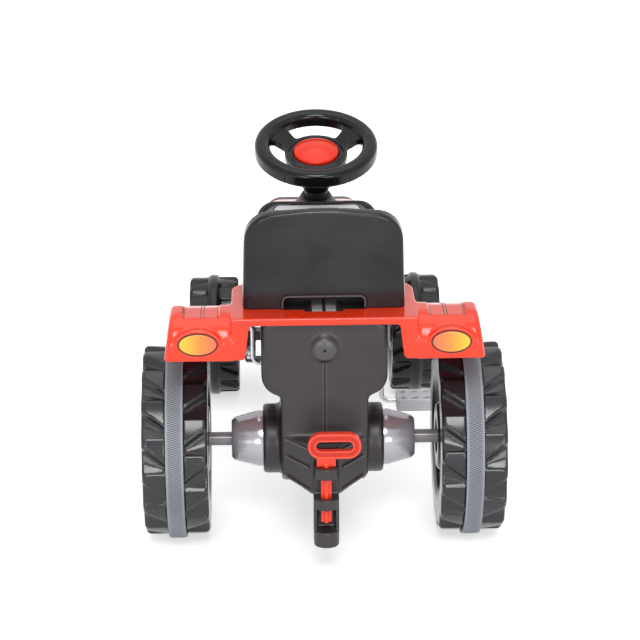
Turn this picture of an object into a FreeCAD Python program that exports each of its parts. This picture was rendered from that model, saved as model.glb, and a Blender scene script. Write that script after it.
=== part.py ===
import FreeCAD, Part
import math
import os

V = FreeCAD.Vector

# Ride-on pedal tractor for small children, in millimetres.
# +Y is the way it drives, +X its right side, +Z up.
# The origin lies on the ground under the middle of its box.

# Overall sizes
OVERALL_WIDTH = 510.0
REAR_REACH = 201.0
FRONT_REACH = 722.0
WHEELBASE = 580.0
AXLE_Y = (REAR_REACH - FRONT_REACH) / 2
FRONT_Y = AXLE_Y + WHEELBASE

# Clearances
RUN_GAP = 0.05
SEAT_GAP = 0.02
SIDE_GAP = 0.4
CUT_OVER = 4.0

# Rear wheels
BAND_R = 141.0
BAND_WIDTH = 24.5
BAND_DEPTH = 9.0
BAND_PROUD = 6.0
REAR_LUG_R = BAND_R - BAND_PROUD
REAR_WHEEL_WIDTH = 92.0
REAR_DISH_R = 82.0
REAR_HUB_R = 50.0
REAR_WEB = 24.0
REAR_LUG_DEPTH = 11.0
LUGS = 16
SHOULDER = 4.0
RIM_STEP = 5.0
SOCKET_R = 25.0
SOCKET_DEPTH = 4.0
POCKET_R = 22.0
POCKET_DEPTH = 12.0
HUB_INSET = 6.0
BAND_SOFT = 1.2
CAP_WALL = 3.0
CAP_SKIRT = 5.0

# Lugs, as shares of the pitch between two lugs and of the lug depth
RIDGE_MIDDLE = 0.74
RIDGE_SHOULDER = 0.22
WALL_MIDDLE = 0.06
WALL_SHOULDER = 0.11
FLOOR_MIDDLE = 0.92
FLOOR_SHOULDER = 0.68
DEPTH_MIDDLE = 0.6
FLOOR_RISE = 0.9
LAP_RISE = 0.25

# Front wheels
RIB_R = 100.0
RIB_TOP = 12.5
RIB_BASE = 19.0
RIB_SOFT = 2.0
FRONT_LUG_R = 96.0
FRONT_WHEEL_WIDTH = 80.0
FRONT_TRACK = 332.0
FRONT_DISH_R = 58.0
FRONT_HUB_R = 33.0
FRONT_WEB = 22.0
FRONT_LUG_DEPTH = 8.0
FRONT_POCKET_R = 18.0

# Rear axle, its sleeves and housings
AXLE_R = 6.0
AXLE_END = 8.0
SLEEVE_R = 9.75
SLEEVE_START = 96.0
DRUM_R = 50.0
DRUM_HALF = 86.0
HOUSING_R = 40.0
HOUSING_BAND = 7.0
HOUSING_TIP_R = 31.0
HOUSING_SHARE = 0.584
HOUSING_ROUND = 4.0

# Chain drive
PITCH = 12.7
ROLLER_R = 3.9
REAR_TEETH = 16
CRANK_TEETH = 20
SPROCKET_THICK = 3.0
SPROCKET_HUB_R = 13.0
SPROCKET_HUB = 10.0
TOOTH_RISE = 3.8
CHAIN_PLATE = 1.2
CHAIN_HALF_HEIGHT = 4.4

# Crank and pedals
CRANK_AHEAD = 345.0
CRANK_Z = 132.0
CRANK_R = 4.0
CRANK_THROW = 66.0
CRANK_ARM_X = 101.0
CRANK_BEND = 12.0
CRANK_BUSH_R = 8.0
CRANK_BUSH_LENGTH = 24.0
CRANK_FLANGE_R = 13.0
CRANK_FLANGE = 3.0
PEDAL_INNER = 124.0
PEDAL_WIDTH = 75.0
PEDAL_DEPTH = 50.0
PEDAL_THICK = 20.0
PEDAL_HOLE_R = 5.5
PEDAL_HOLE_ROW = 14.0
PEDAL_HOLES = 4
PEDAL_ROUND = 6.0
PEDAL_SOFT = 2.0
PEDAL_CAP_R = 8.0
PEDAL_CAP = 5.0

# Main body
TUB_HALF = 60.0
TUB_TOP = 268.0
TUB_BOTTOM = 80.0
TAIL_DROP = 4.0
AXLE_DROP = 49.0
TAIL_RAMP = 50.0
RAMP_DROP = 45.0
BELLY_STEP = 55.0
BELLY_START = 110.0
BELLY_END = 407.0
NOSE_START = 445.0
NOSE_END = 688.0
NOSE_LEAN = 6.0
SADDLE_FRONT = 293.0
SADDLE_Z = 293.0
TUB_ROUND = 14.0
NOSE_BOTTOM = 130.0
BODY_BACK = 135.0
PEDESTAL_HALF = 87.0
PEDESTAL_SINK = 10.0
PEDESTAL_BOTTOM = 252.0
PEDESTAL_FRONT = 185.0
PEDESTAL_ROUND = 30.0
PLATEAU_HALF = 72.0
PLATEAU_ROUND = 6.0
ROOT_LAP = 10.0
DECK_THICK = 5.0
RAIL_HALF = 16.5
RAIL_SINK = 1.0
RAIL_ROUND = 3.0
NOTCH_ROOM = 9.0
NOTCH_LONG = 8.0
TUNNEL_HALF = 15.0
TUNNEL_ROOM = 13.0
BOSS_R = 18.0
BOSS_DROP = 38.0
BOSS_PROUD = 7.0
BOSS_SOFT = 6.0
BOSS_HOLE_R = 2.0
COWL_BOTTOM = 228.0
PAD_HALF = 36.0
PAD_LONG = 25.0
CRANK_BOSS_R = 20.0
BORE_ROOM = 1.5
EDGE_SOFT = 8.0
PANEL_MARGIN = 10.0
PANEL_SINK = 2.5

# Hitch
HITCH_HALF = 17.5
COLLAR_TOP = 171.0
COLLAR_HEIGHT = 15.0
LOWER_COLLAR_TOP = 126.0
BLOCK_TOP = 78.0
BLOCK_BOTTOM = 56.0
HITCH_BACK_PLATE = 8.0
HITCH_WALL = 5.0
WEDGE_TOP = 195.0
WEDGE_BOTTOM = 119.5
WEDGE_RISE = 17.5
WEDGE_ROOT = 30.0
WEDGE_LAP = 4.0
WEDGE_SOFT = 3.0
PIN_WIDTH = 14.6
PIN_RIB = 5.0
PIN_BOTTOM = 89.0
PIN_NECK_WIDTH = 26.0
PIN_NECK_HEIGHT = 15.0
PIN_THICK = 10.0
LOOP_WIDTH = 73.0
LOOP_HEIGHT = 36.0
LOOP_BAR = 11.0
LOOP_OFFSET = 11.6
LOOP_LAP = 3.0

# Fender and lights
FENDER_BACK = 151.0
APRON_BACK = 149.0
APRON_HALF = 102.0
APRON_FLARE = 6.0
APRON_FACE = 11.0
APRON_LAP = 3.0
APRON_ROUND = 3.0
APRON_CORNER = 7.0
APRON_SOFT = 1.5
DECK_FRONT = 70.0
TONGUE_HALF = 88.0
TONGUE_ROUND = 5.0
STRIP_FRONT = 13.0
STRIP_ROUND = 30.0
GUARD_INNER = 124.0
GUARD_OUTER = 219.0
GUARD_TAPER = 9.0
GUARD_ROOM = 30.0
GUARD_BOTTOM = 2 * BAND_R + GUARD_ROOM
GUARD_HEIGHT = 59.0
GUARD_TOP = GUARD_BOTTOM + GUARD_HEIGHT
DECK_STEP = 1.0
DECK_TOP = GUARD_TOP + DECK_STEP
GUARD_FRONT = 80.0
GUARD_WALL = 4.0
GUARD_SIDE = 6.0
GUARD_ROUND = 42.0
GUARD_SOFT = 8.0
GUARD_SLOPE = 30.0
GUARD_SWEEP = 90.0
GUARD_CROWN_Y = 80.0
GUARD_CROWN_ROUND = 60.0
RECESS_INNER = 143.0
RECESS_OUTER = 193.0
RECESS_DEEP = 4.0
RECESS_FRONT = 30.0
LAMP_X = 172.0
LAMP_LIFT = 25.5
LAMP_LENGTH = 52.0
LAMP_HEIGHT = 30.0
LAMP_RIM = 5.5
LAMP_RIM_PROUD = 1.2
LAMP_RIM_DEEP = 12.0
LAMP_SOFT = 2.0
LAMP_PROUD = 3.0
LAMP_SEAT = 2.0

# Seat
SEAT_HALF = 111.0
SEAT_BACK_HEIGHT = 148.5
SEAT_BACK_Y = 108.0
SEAT_FRONT = 130.0
SEAT_BASE_HEIGHT = 42.0
SEAT_BACK_THICK = 30.0
SEAT_LEAN = 8.0
SEAT_CROWN = 12.0
SEAT_CORNER = 42.0
SEAT_DISH_R = 420.0
SEAT_DISH = 18.0
SEAT_SOFT = 6.0
SEAT_TAPER = 4.0
SEAT_FRONT_ROUND = 36.0
SEAT_CROWN_R = 300.0
SEAT_DISH_START = 12.0
SLOT_HALF = 57.0
SLOT_HEIGHT = 19.0
SLOT_DEEP = 45.0
SLOT_ROUND = 9.0

# Bonnet, grille and dash
BONNET_REAR = 316.0
BONNET_FRONT = 700.0
BONNET_REAR_HALF = 92.0
BONNET_FRONT_HALF = 80.0
BONNET_REAR_TOP = 404.0
BONNET_FRONT_TOP = 299.0
BONNET_BOTTOM = 250.0
BONNET_CORNER = 28.0
BONNET_WALL = 5.0
LOUVRES = 6
LOUVRE_STEP = 16.0
LOUVRE_WIDTH = 8.0
LOUVRE_SINK = 2.0
LOUVRE_FRONT = 640.0
LOUVRE_LOW = 260.0
LOUVRE_HIGH = 286.0
LOUVRE_SLANT = 8.0
LOUVRE_ROUND = 2.0
GRILLE_BOTTOM = 140.0
GRILLE_SLATS = 6
GRILLE_TAPER = 14.0
GRILLE_WAIST = 200.0
GRILLE_ROUND = 16.0
GRILLE_SOFT = 8.0
SLAT_MARGIN = 26.0
SLAT_GAP = 4.0
SLAT_SINK = 8.0
HEADLIGHT_R = 20.0
HEADLIGHT_X = 48.0
HEADLIGHT_Z = 262.0
HEADLIGHT_SOFT = 3.0
HEADLIGHT_DEEP = 6.0
DASH_REAR = 268.0
DASH_TOP = 402.0
DASH_LIP = 312.0
DASH_KNEE = 330.0
DASH_HALF = 85.0
DASH_BOSS_R = 40.0
DASH_FOOT = 282.0
DASH_SOFT = 4.0
BOSS_CONE_LOW = 377.0
BOSS_CONE_TOP = 400.0
BOSS_CONE_R = 36.0
BOSS_CONE_WALL = 5.0
TONGUE_LAP = 6.0
FACE_HALF = 66.0
FACE_MARGIN = 10.0
FACE_THICK = 3.0
FACE_PROUD = 1.0
FACE_ROUND = 10.0

# Steering
STEER_AHEAD = 340.0
STEER_Z = 484.0
STEER_TILT = 19.5
STEER_R = 94.0
RIM_WIDTH = 23.0
RIM_HEIGHT = 22.0
RIM_ROUND = 9.0
RIM_SKIRT = 3.0
GROOVE_WIDE = 2.0
GROOVE_DEEP = 1.2
GROOVE_END = 30.0
GROOVE_SIDE = 15.0
SPOKE_THICK = 11.0
UPPER_WINDOW = 40.0
LOWER_WINDOW_START = 162.0
LOWER_WINDOW_END = 246.0
WINDOW_MARGIN = 4.0
WINDOW_ROUND = 6.0
HUB_FLARE = 4.0
HUB_SKIRT = 8.0
HORN_LIP = 4.0
LIP_RISE = 2.0
WELL_WALL = 3.0
STEER_HUB_R = 44.0
STEER_HUB_DEEP = 16.0
HUB_SINK = 12.0
STEER_COLLAR_R = 21.5
STEER_COLLAR = 46.0
HORN_R = 35.0
HORN_CROWN = 8.0
HORN_PROUD = 3.0
HORN_TRAVEL = 3.0
HORN_DEEP = 5.0
HORN_FLOAT = 0.6
SPRING_R = 8.0
SPRING_WIRE_R = 0.7
SPRING_TURNS = 4
COLUMN_R = 17.5
SLEEVE_LIFT = 12.0
SHAFT_R = 5.0
SHAFT_BUSH_R = 8.5
SHAFT_BUSH_LENGTH = 22.0
BUSH_LIFT = 6.0
STEER_ARM = 35.0
STEER_BEND = 8.0
STEER_PIN = 30.0

# Front axle and steering linkage
BEAM_HEIGHT = 16.0
BEAM_DEPTH = 22.0
KINGPIN_X = 108.0
KINGPIN_R = 5.0
PIN_HEAD = 2.5
EAR_R = 11.0
KNUCKLE_PLATE = 5.0
KNUCKLE_GAP = 0.3
WEB_GAP = 1.5
STUB_R = 6.0
KNUCKLE_ARM = 80.0
ARM_HALF = 8.0
TIE_PIN_R = 3.0
TIE_THICK = 5.0
TIE_HALF = 8.0
PLAY_SIDE = 1.6
PLAY_BACK = 5.0
PLAY_FRONT = 14.0

# Belly pan
PAN_THICK = 4.0
PAN_INSET = 14.0
PAN_BACK = 43.0
PAN_FRONT = 395.0

# Fasteners
SCREW_R = 2.5
SCREW_HEAD_R = 5.5
SCREW_HEAD = 3.0
SCREW_LENGTH = 14.0
BOLT_R = 4.0
BOLT_HEAD_R = 7.0
BOLT_HEAD = 5.0
BOLT_LENGTH = 22.0
NUT_R = 13.0
NUT_THICK = 2.0
PAN_SCREW_INSET = 10.0
PAN_SCREW_FRONT = 375.0
PAN_SCREW_STEP = 140.0
PAN_SCREW_ROWS = 3
FENDER_SCREW_X = 58.0
FENDER_SCREW_REAR = -40.0
FENDER_SCREW_FRONT = 56.0
BEAM_BOLT_X = 22.0
BONNET_SCREW_REAR = 356.0
BONNET_SCREW_FRONT = 520.0
BONNET_SCREW_Z = 264.0
HITCH_BOLT_Z = 141.0
HITCH_BOLT_SPREAD = 6.5
SEAT_BOLT_X = 30.0
SEAT_BOLT_AHEAD = 40.0
SEAT_BOLT_LENGTH = 42.0
HEAD_ROOM = 1.0


def ahead(distance):
    return AXLE_Y + distance


# Shared shapes


def rounded_wire(corners, place):
    """Closed outline through (u, v, radius) corners, each one turned by an arc of its radius."""
    count = len(corners)
    starts = []
    middles = []
    ends = []
    for index, (u, v, radius) in enumerate(corners):
        here = V(u, v, 0)
        before = corners[index - 1]
        after = corners[(index + 1) % count]
        back = (V(before[0], before[1], 0) - here).normalize()
        on = (V(after[0], after[1], 0) - here).normalize()
        half = back.getAngle(on) / 2
        run = radius / math.tan(half)
        inward = (back + on).normalize()
        starts.append(here + back * run)
        ends.append(here + on * run)
        middles.append(here + inward * (radius / math.sin(half) - radius))
    edges = []
    for index in range(count):
        if corners[index][2] > 0:
            arc = Part.Arc(place(starts[index]), place(middles[index]), place(ends[index]))
            edges.append(arc.toShape())
        following = starts[(index + 1) % count]
        if (following - ends[index]).Length > 1e-6:
            edges.append(Part.makeLine(place(ends[index]), place(following)))
    return Part.Wire(edges)


def side_prism(corners, x_low, x_high):
    """Outline in the Y-Z plane, drawn out across the tractor."""
    wire = rounded_wire(corners, lambda p: V(x_low, p.x, p.y))
    return Part.Face(wire).extrude(V(x_high - x_low, 0, 0))


def rear_prism(corners, y_low, y_high):
    """Outline in the X-Z plane, drawn out along the tractor."""
    wire = rounded_wire(corners, lambda p: V(p.x, y_low, p.y))
    return Part.Face(wire).extrude(V(0, y_high - y_low, 0))


def plan_prism(corners, z_low, z_high):
    """Outline in the X-Y plane, drawn upwards."""
    wire = rounded_wire(corners, lambda p: V(p.x, p.y, z_low))
    return Part.Face(wire).extrude(V(0, 0, z_high - z_low))


def box(x_low, x_high, y_low, y_high, z_low, z_high):
    return Part.makeBox(x_high - x_low, y_high - y_low, z_high - z_low, V(x_low, y_low, z_low))


def rod_x(x_low, x_high, y, z, radius):
    return Part.makeCylinder(radius, x_high - x_low, V(x_low, y, z), V(1, 0, 0))


def rod_z(x, y, z_low, z_high, radius):
    return Part.makeCylinder(radius, z_high - z_low, V(x, y, z_low))


def turned_x(profile):
    """Solid of revolution about the X axis from (x, radius) points."""
    points = [V(x, 0, radius) for x, radius in profile]
    return Part.Face(Part.makePolygon(points + points[:1])).revolve(V(), V(1, 0, 0), 360)


def mirrored(shape):
    return shape.mirror(V(), V(1, 0, 0))


def both_sides(shape):
    return [shape, mirrored(shape)]


def softened(shape, radius, plane, levels):
    """Fillets the edges that lie wholly in one of the planes named by axis and level."""
    chosen = []
    for edge in shape.Edges:
        low = getattr(edge.BoundBox, plane + "Min")
        high = getattr(edge.BoundBox, plane + "Max")
        if any(abs(low - level) < 1e-4 and abs(high - level) < 1e-4 for level in levels):
            chosen.append(edge)
    return shape.makeFillet(radius, chosen)


def bent_rod(points, radius, bend):
    """Round rod along straight runs joined by arcs of one bend radius."""
    edges = []
    start = points[0]
    for index in range(1, len(points) - 1):
        here = points[index]
        back = (points[index - 1] - here).normalize()
        on = (points[index + 1] - here).normalize()
        half = back.getAngle(on) / 2
        run = bend / math.tan(half)
        inward = (back + on).normalize()
        entry = here + back * run
        leave = here + on * run
        middle = here + inward * (bend / math.sin(half) - bend)
        edges.append(Part.makeLine(start, entry))
        edges.append(Part.Arc(entry, middle, leave).toShape())
        start = leave
    edges.append(Part.makeLine(start, points[-1]))
    direction = points[1] - points[0]
    section = Part.Wire([Part.makeCircle(radius, points[0], direction)])
    return Part.Wire(edges).makePipeShell([section], True, True)


def fastener(place, inward, shank_r, length, head_r, head):
    """Pan-headed screw or bolt: place is under its head, inward the way that it is driven."""
    shank = Part.makeCylinder(shank_r, length, place, inward)
    cap = Part.makeCylinder(head_r, head, place - inward * head, inward)
    return shank.fuse(cap).removeSplitter()


def drilled(shape, places, inward, shank_r, length):
    holes = [Part.makeCylinder(shank_r + SEAT_GAP, length + CUT_OVER, p, inward) for p in places]
    return shape.cut(holes)


parts = {}


# Wheels: hollow mouldings with a dish on either side and staggered half-chevron lugs


def wheel_blank(lug_r, width, dish_r, hub_r, web, bore_r, socket_r, pocket_r):
    half = width / 2
    face = half - HUB_INSET
    profile = [
        (-half + SOCKET_DEPTH, bore_r),
        (-half + SOCKET_DEPTH, socket_r),
        (-half, socket_r),
        (-half, hub_r - RIM_STEP),
        (-half + RIM_STEP, hub_r),
        (-web / 2, hub_r),
        (-web / 2, dish_r - RIM_STEP),
        (-half + RIM_STEP, dish_r),
        (-half, dish_r + 2 * RIM_STEP),
        (-half, lug_r - SHOULDER),
        (-half + SHOULDER, lug_r),
        (half - SHOULDER, lug_r),
        (half, lug_r - SHOULDER),
        (half, dish_r + 2 * RIM_STEP),
        (half - RIM_STEP, dish_r),
        (web / 2, dish_r - RIM_STEP),
        (web / 2, hub_r),
        (face, hub_r),
        (face, pocket_r),
        (face - POCKET_DEPTH, pocket_r),
        (face - POCKET_DEPTH, bore_r),
    ]
    return turned_x(profile)


def scoop(lug_r, depth, middle_x, shoulder_x, turn):
    """Valley behind one lug: a steep wall under a slanted ridge, then a floor that rises to the next lug."""
    pitch = 2 * math.pi / LUGS
    ends = (
        (middle_x, RIDGE_MIDDLE, WALL_MIDDLE, FLOOR_MIDDLE, DEPTH_MIDDLE * depth),
        (shoulder_x, RIDGE_SHOULDER, WALL_SHOULDER, FLOOR_SHOULDER, depth),
    )
    wires = []
    for x, ridge, wall, lap, sink in ends:
        outline = (
            (ridge, lug_r + CUT_OVER),
            (ridge, lug_r),
            (ridge + wall, lug_r - sink),
            (lap, lug_r - FLOOR_RISE * sink),
            (1.0, lug_r - LAP_RISE * sink),
            (1.0, lug_r + CUT_OVER),
        )
        points = []
        for share, radius in outline:
            angle = turn * share * pitch
            points.append(V(x, -radius * math.sin(angle), radius * math.cos(angle)))
        wires.append(Part.makePolygon(points + points[:1]))
    return Part.makeLoft(wires, True, True)


def lugged(blank, lug_r, depth, width, middle_half, turn):
    """Cuts the lugs of both halves; the second half is half a pitch on."""
    pitch = 360.0 / LUGS
    right = scoop(lug_r, depth, middle_half, width / 2 + 1, turn)
    left = mirrored(right)
    left.rotate(V(), V(1, 0, 0), pitch / 2)
    tools = []
    for index in range(LUGS):
        for tool in (right, left):
            copy = tool.copy()
            copy.rotate(V(), V(1, 0, 0), index * pitch)
            tools.append(copy)
    return blank.cut(tools)


def placed_pair(shape, x, y, z):
    """The right-hand copy and its mirror image."""
    right = shape.translated(V(x, y, z))
    return right, mirrored(right)


def dome(radius, crown):
    """Cap of a ball, standing on the X-Y plane."""
    ball = (radius**2 + crown**2) / (2 * crown)
    room = radius + CUT_OVER
    whole = Part.makeSphere(ball, V(0, 0, crown - ball))
    return whole.common(box(-room, room, -room, room, 0, crown + CUT_OVER))


def hub_cap(pocket_r, face, edge_r, crown):
    """Domed cap with a skirt that presses into the hub's pocket."""
    skirt_r = pocket_r - SEAT_GAP
    cap = dome(edge_r, crown)
    cap.rotate(V(), V(0, 1, 0), 90)
    cap = cap.translated(V(face, 0, 0))
    skirt = ring_x(face - CAP_SKIRT, face + crown / 2, skirt_r - CAP_WALL, skirt_r)
    return cap.fuse(skirt).removeSplitter()


def ring_x(x_low, x_high, inner_r, outer_r):
    return turned_x([(x_low, inner_r), (x_high, inner_r), (x_high, outer_r), (x_low, outer_r)])


REAR_HALF = REAR_WHEEL_WIDTH / 2
REAR_WHEEL_X = OVERALL_WIDTH / 2 - REAR_HALF
GROOVE_R = BAND_R - BAND_DEPTH
REAR_POCKET_FLOOR = REAR_HALF - HUB_INSET - POCKET_DEPTH

rear_blank = wheel_blank(
    REAR_LUG_R, REAR_WHEEL_WIDTH, REAR_DISH_R, REAR_HUB_R, REAR_WEB, AXLE_R + RUN_GAP, SOCKET_R, POCKET_R
)
rear_wheel = lugged(rear_blank, REAR_LUG_R, REAR_LUG_DEPTH, REAR_WHEEL_WIDTH, BAND_WIDTH / 2, 1)
rear_wheel = rear_wheel.cut(ring_x(-BAND_WIDTH / 2, BAND_WIDTH / 2, GROOVE_R, BAND_R))
band_half = BAND_WIDTH / 2 - SEAT_GAP
tread_band = turned_x([
    (-band_half, GROOVE_R + SEAT_GAP),
    (band_half, GROOVE_R + SEAT_GAP),
    (band_half, BAND_R - BAND_SOFT),
    (band_half - BAND_SOFT, BAND_R),
    (-band_half + BAND_SOFT, BAND_R),
    (-band_half, BAND_R - BAND_SOFT),
])
rear_cap = hub_cap(POCKET_R, REAR_HALF - HUB_INSET, REAR_HUB_R - RIM_STEP, HUB_INSET)
for name, shape in (("rear_wheel", rear_wheel), ("tread_band", tread_band), ("rear_hub_cap", rear_cap)):
    right, left = placed_pair(shape, REAR_WHEEL_X, AXLE_Y, BAND_R)
    parts[name + "_right"] = right
    parts[name + "_left"] = left

FRONT_HALF = FRONT_WHEEL_WIDTH / 2
web_half = BEAM_HEIGHT / 2 + KNUCKLE_GAP + KNUCKLE_PLATE
front_socket_r = math.hypot(EAR_R, web_half) + SIDE_GAP
FRONT_X = FRONT_TRACK / 2
front_blank = wheel_blank(
    FRONT_LUG_R, FRONT_WHEEL_WIDTH, FRONT_DISH_R, FRONT_HUB_R, FRONT_WEB, STUB_R + RUN_GAP,
    front_socket_r, FRONT_POCKET_R,
)
front_wheel = lugged(front_blank, FRONT_LUG_R, FRONT_LUG_DEPTH, FRONT_WHEEL_WIDTH, RIB_TOP / 2, -1)
rib_root = FRONT_LUG_R - FRONT_LUG_DEPTH
rib = turned_x([
    (-RIB_BASE / 2, rib_root),
    (RIB_BASE / 2, rib_root),
    (RIB_BASE / 2, FRONT_LUG_R),
    (RIB_TOP / 2, RIB_R - RIB_SOFT / 2),
    (RIB_TOP / 2 - RIB_SOFT, RIB_R),
    (-RIB_TOP / 2 + RIB_SOFT, RIB_R),
    (-RIB_TOP / 2, RIB_R - RIB_SOFT / 2),
    (-RIB_BASE / 2, FRONT_LUG_R),
])
front_wheel = front_wheel.fuse(rib)
front_cap = hub_cap(FRONT_POCKET_R, FRONT_HALF - HUB_INSET, FRONT_HUB_R - RIM_STEP, HUB_INSET)
for name, shape in (("front_wheel", front_wheel), ("front_hub_cap", front_cap)):
    right, left = placed_pair(shape, FRONT_X, FRONT_Y, RIB_R)
    parts[name + "_right"] = right
    parts[name + "_left"] = left


# Rear axle: steel rod through both wheels, held by push nuts under the hub caps

axle_half = REAR_WHEEL_X + REAR_POCKET_FLOOR + AXLE_END
parts["rear_axle"] = rod_x(-axle_half, axle_half, AXLE_Y, BAND_R, AXLE_R)
nut_x = REAR_WHEEL_X + REAR_POCKET_FLOOR
rear_nut = ring_x(nut_x, nut_x + NUT_THICK, AXLE_R + SEAT_GAP, NUT_R).translated(V(0, AXLE_Y, BAND_R))
rear_nut = rear_nut.translated(V(KNUCKLE_GAP, 0, 0))
parts["rear_push_nuts"] = Part.makeCompound(both_sides(rear_nut))

# Axle housings: grey cones bolted to the body's drums, with a sleeve each that the axle runs in

wheel_inside = OVERALL_WIDTH / 2 - REAR_WHEEL_WIDTH
housing_end = DRUM_HALF + HOUSING_SHARE * (wheel_inside - DRUM_HALF)
sleeve_bore = SLEEVE_R + SEAT_GAP
housing = turned_x([
    (DRUM_HALF, sleeve_bore),
    (DRUM_HALF, HOUSING_R),
    (DRUM_HALF + HOUSING_BAND, HOUSING_R),
    (housing_end - HOUSING_ROUND, HOUSING_TIP_R),
    (housing_end, HOUSING_TIP_R - HOUSING_ROUND),
    (housing_end, sleeve_bore),
]).translated(V(0, AXLE_Y, BAND_R))
sleeve_end = wheel_inside + SOCKET_DEPTH - KNUCKLE_GAP
sleeve = ring_x(SLEEVE_START, sleeve_end, AXLE_R + RUN_GAP, SLEEVE_R).translated(V(0, AXLE_Y, BAND_R))
parts["axle_housing_right"] = housing
parts["axle_housing_left"] = mirrored(housing)
parts["axle_sleeve_right"] = sleeve
parts["axle_sleeve_left"] = mirrored(sleeve)


# Chain drive inside the body: two sprockets and a roller chain


def pitch_radius(teeth):
    return PITCH / (2 * math.sin(math.pi / teeth))


def sprocket(teeth, bore_r, y, z, first_angle):
    """Toothed disc on a hub; each gap is a round seat for one roller."""
    radius = pitch_radius(teeth)
    disc = rod_x(-SPROCKET_THICK / 2, SPROCKET_THICK / 2, 0, 0, radius + TOOTH_RISE)
    seats = []
    mouth = ROLLER_R + SIDE_GAP
    for index in range(teeth):
        angle = first_angle + 2 * math.pi * index / teeth
        seat = rod_x(-SPROCKET_THICK, SPROCKET_THICK, radius, 0, mouth)
        opening = box(-SPROCKET_THICK, SPROCKET_THICK, radius, radius + PITCH, -mouth, mouth)
        tool = seat.fuse(opening)
        tool.rotate(V(), V(1, 0, 0), math.degrees(angle))
        seats.append(tool)
    disc = disc.cut(seats)
    hub = rod_x(-SPROCKET_HUB / 2, SPROCKET_HUB / 2, 0, 0, SPROCKET_HUB_R)
    whole = disc.fuse(hub).cut(rod_x(-SPROCKET_HUB, SPROCKET_HUB, 0, 0, bore_r + SEAT_GAP))
    return whole.removeSplitter().translated(V(0, y, z))


crank_y = ahead(CRANK_AHEAD)
rear_pitch_r = pitch_radius(REAR_TEETH)
crank_pitch_r = pitch_radius(CRANK_TEETH)
span = math.hypot(crank_y - AXLE_Y, CRANK_Z - BAND_R)
lean = math.atan2(CRANK_Z - BAND_R, crank_y - AXLE_Y)
spread = math.asin((crank_pitch_r - rear_pitch_r) / span)
upper_angle = math.pi / 2 + lean + spread
parts["rear_sprocket"] = sprocket(REAR_TEETH, AXLE_R, AXLE_Y, BAND_R, upper_angle)
parts["crank_sprocket"] = sprocket(CRANK_TEETH, CRANK_R, crank_y, CRANK_Z, upper_angle)
half_chain = SPROCKET_THICK / 2 + SIDE_GAP + CHAIN_PLATE


def chain_loop(offset, x_low, x_high):
    """The chain's run round both sprockets, as a solid loop grown by offset from the pitch line."""
    solids = []
    corners = []
    for y, z, radius in ((AXLE_Y, BAND_R, rear_pitch_r), (crank_y, CRANK_Z, crank_pitch_r)):
        solids.append(rod_x(x_low, x_high, y, z, radius + offset))
        for side in (1, -1):
            angle = lean + side * (math.pi / 2 + spread)
            reach = radius + offset
            corners.append(V(x_low, y + reach * math.cos(angle), z + reach * math.sin(angle)))
    ordered = [corners[0], corners[2], corners[3], corners[1], corners[0]]
    body = Part.Face(Part.makePolygon(ordered)).extrude(V(x_high - x_low, 0, 0))
    return body.fuse(solids).removeSplitter()


def chain_rollers():
    """Rollers at the pitch along both straight runs, where they are clear of the turning teeth."""
    rollers = []
    straight = math.sqrt(span**2 - (crank_pitch_r - rear_pitch_r) ** 2)
    along = int(straight / PITCH)
    clear = TOOTH_RISE + ROLLER_R + SIDE_GAP
    for side in (1, -1):
        angle = lean + side * (math.pi / 2 + spread)
        start = V(0, AXLE_Y + rear_pitch_r * math.cos(angle), BAND_R + rear_pitch_r * math.sin(angle))
        end = V(0, crank_y + crank_pitch_r * math.cos(angle), CRANK_Z + crank_pitch_r * math.sin(angle))
        run = (end - start).normalize()
        for index in range(along):
            spot = start + run * (index * straight / along)
            off_rear = (spot - V(0, AXLE_Y, BAND_R)).Length - rear_pitch_r
            off_crank = (spot - V(0, crank_y, CRANK_Z)).Length - crank_pitch_r
            if off_rear > clear and off_crank > clear:
                rollers.append(rod_x(-half_chain, half_chain, spot.y, spot.z, ROLLER_R))
    return rollers


chain_sides = []
for x in (-half_chain, half_chain - CHAIN_PLATE):
    outer = chain_loop(CHAIN_HALF_HEIGHT, x, x + CHAIN_PLATE)
    inner = chain_loop(-CHAIN_HALF_HEIGHT, x - 1, x + CHAIN_PLATE + 1)
    chain_sides.append(outer.cut(inner))
parts["drive_chain"] = chain_sides[0].fuse([chain_sides[1]] + chain_rollers())

# Pedal crank: one bent steel rod, left arm up and right arm down, with a pedal on either end

pedal_outer = PEDAL_INNER + PEDAL_WIDTH
rod_end = pedal_outer + PEDAL_CAP
left_z = CRANK_Z + CRANK_THROW
right_z = CRANK_Z - CRANK_THROW
parts["pedal_crank"] = bent_rod(
    [
        V(-rod_end, crank_y, left_z),
        V(-CRANK_ARM_X, crank_y, left_z),
        V(-CRANK_ARM_X, crank_y, CRANK_Z),
        V(CRANK_ARM_X, crank_y, CRANK_Z),
        V(CRANK_ARM_X, crank_y, right_z),
        V(rod_end, crank_y, right_z),
    ],
    CRANK_R,
    CRANK_BEND,
)
pedal_depth_half = PEDAL_DEPTH / 2
pedal_block = plan_prism(
    [
        (PEDAL_INNER, -pedal_depth_half, PEDAL_ROUND),
        (pedal_outer, -pedal_depth_half, PEDAL_ROUND),
        (pedal_outer, pedal_depth_half, PEDAL_ROUND),
        (PEDAL_INNER, pedal_depth_half, PEDAL_ROUND),
    ],
    -PEDAL_THICK / 2,
    PEDAL_THICK / 2,
)
pedal_block = softened(pedal_block, PEDAL_SOFT, "Z", (-PEDAL_THICK / 2, PEDAL_THICK / 2))
hole_step = PEDAL_WIDTH / PEDAL_HOLES
pedal_cuts = [rod_x(PEDAL_INNER - 1, pedal_outer + 1, 0, 0, CRANK_R + RUN_GAP)]
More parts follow.
